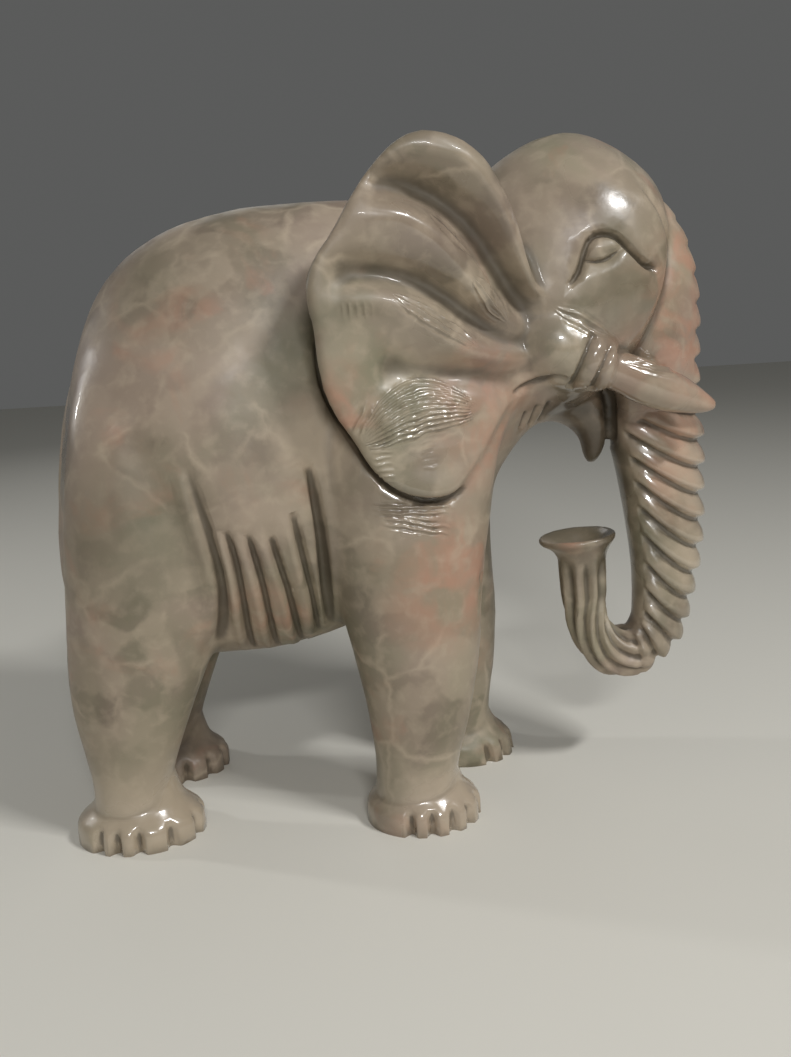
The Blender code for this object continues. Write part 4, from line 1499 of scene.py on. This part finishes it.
    def thin(self, block: bpy.types.Object) -> None:
        """Leaves fewer triangles, but all of those in the tool marks, and levels the soles.

        Args:
            block: The block, which is changed and put in its place in the frame.
        """
        depth = np.empty(len(block.data.vertices), np.float32)
        block.data.attributes["stroke_depth"].data.foreach_get("value", depth)
        kept = block.vertex_groups.new(name="tooled")
        kept.add(np.where(depth > 0)[0].tolist(), 1.0, "REPLACE")
        block.data.calc_loop_triangles()
        thin = block.modifiers.new("thin", "DECIMATE")
        thin.ratio = min(1.0, self.triangles / len(block.data.loop_triangles))
        thin.vertex_group = kept.name
        thin.invert_vertex_group = True
        baked(block)
        block.vertex_groups.clear()
        for name in ("strokes_passed", "stroke_depth"):
            block.data.attributes.remove(block.data.attributes[name])
        points = self.places(block)
        points[:, 2] = np.maximum(points[:, 2], 0)
        points += (FIGURE_AHEAD, FIGURE_LEFT, 0)
        block.data.vertices.foreach_set("co", (points * UNIT).ravel())
        block.data.update()

    def build(self) -> bpy.types.Object:
        """Carves the figure and gives it its stone.

        Returns:
            The figure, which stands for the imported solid.
        """
        stone = self.marble.material()
        block = self.rough.fuse("rough_block", [
            *self.torso.rough_forms(), *self.head.rough_forms(), *self.legs.rough_forms()])
        log.info("rough block: %d points", len(block.data.vertices))
        block = self.shaped.fuse("shaped_block", [
            block, *self.head.shaped_forms(), *self.ears.shaped_forms()])
        log.info("shaped block: %d points", len(block.data.vertices))
        net = self.fine
        block = net.fuse("carved_elephant", [
            block, *self.trunk.fine_forms(stone), *self.torso.fine_forms(), *self.legs.fine_forms(),
            *self.head.fine_forms()])
        self.refine(block)
        self.carve(block)
        use_tree(block, self.hand_tree(), {**self.hand_sizes(), "Stone": stone})
        self.thin(block)
        block.data.materials.clear()
        block.data.materials.append(stone)
        block.data.shade_smooth()
        log.info("figure: %d triangles", sum(len(face.vertices) - 2 for face in block.data.polygons))
        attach(block, "root")
        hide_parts("elephant")
        return block


@dataclass
class Studio:
    """A pale floor, soft lights and the camera at the photograph's angle."""

    floor_colour: Row = (0.75, 0.73, 0.66, 1)
    floor_half: float = 4.0
    floor_roughness: float = 0.8
    sensor: float = 36.0
    lens: float = 1000 / 1057 * 36
    lights_aim: Row = (0, 0, 0.15)
    camera_place: Row = (FIGURE_AHEAD * UNIT, -0.4762, 0.2239)
    camera_down: float = 11.0
    camera_roll: float = 3.5
    lights: tuple[tuple[str, Row, tuple[float, float], float], ...] = (
        ("key", (0.80, -0.70, 1.15), (0.30, 0.08), 10.5),
        ("front", (0.18, -1.30, 0.78), (0.32, 0.09), 7.5),
        ("side", (-1.15, 0.30, 0.60), (0.06, 0.14), 2.0),
        ("back", (-0.50, 1.50, 1.10), (0.90, 0.60), 1.5),
    )
    sky: Row = (0.80, 0.81, 0.80, 1)
    sky_strength: float = 0.13
    view: str = "Standard"

    def floor(self) -> None:
        """Lays the floor."""
        mesh = bpy.data.meshes.new("floor")
        half = self.floor_half
        corners = [(-half, -half, 0), (half, -half, 0), (half, half, 0), (-half, half, 0)]
        mesh.from_pydata(corners, [], [(0, 1, 2, 3)])
        floor = add_object("floor", mesh)
        pale = bpy.data.materials.new("pale_floor")
        pale.use_nodes = True
        shader = pale.node_tree.nodes["Principled BSDF"]
        shader.inputs["Base Color"].default_value = self.floor_colour
        shader.inputs["Roughness"].default_value = self.floor_roughness
        mesh.materials.append(pale)

    def light(self, name: str, place: Row, size: tuple[float, float], power: float) -> None:
        """Hangs a soft strip light that looks at the figure.

        Args:
            name: What it is called.
            place: Where it hangs, in metres.
            size: Its width and height.
            power: Its watts.
        """
        lamp = bpy.data.lights.new(name, "AREA")
        lamp.shape = "RECTANGLE"
        lamp.size, lamp.size_y = size
        lamp.energy = power
        item = add_object(name, lamp)
        item.location = place
        way = Vector(self.lights_aim) - Vector(place)
        item.rotation_euler = way.to_track_quat("-Z", "Y").to_euler()

    def camera(self) -> None:
        """Places the camera."""
        data = bpy.data.cameras.new("camera")
        data.sensor_width = self.sensor
        data.lens = self.lens
        item = add_object("camera", data)
        item.matrix_world = (Matrix.Translation(self.camera_place)
                             @ Matrix.Rotation(math.radians(90 - self.camera_down), 4, "X")
                             @ Matrix.Rotation(math.radians(-self.camera_roll), 4, "Z"))
        bpy.context.scene.camera = item

    def build(self) -> None:
        """Sets up the whole studio."""
        world = bpy.data.worlds.new("studio")
        world.use_nodes = True
        world.node_tree.nodes["Background"].inputs[0].default_value = self.sky
        world.node_tree.nodes["Background"].inputs[1].default_value = self.sky_strength
        bpy.context.scene.world = world
        bpy.context.scene.view_settings.view_transform = self.view
        self.floor()
        for light in self.lights:
            self.light(*light)
        self.camera()


def main() -> None:
    """Builds the figure and the studio."""
    logging.basicConfig(level=logging.INFO, format="%(name)s: %(message)s")
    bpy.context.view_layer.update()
    Elephant(Torso(), Head(), Ears(), Legs(), Trunk(), Marble()).build()
    Studio().build()


if __name__ == "__main__":
    main()
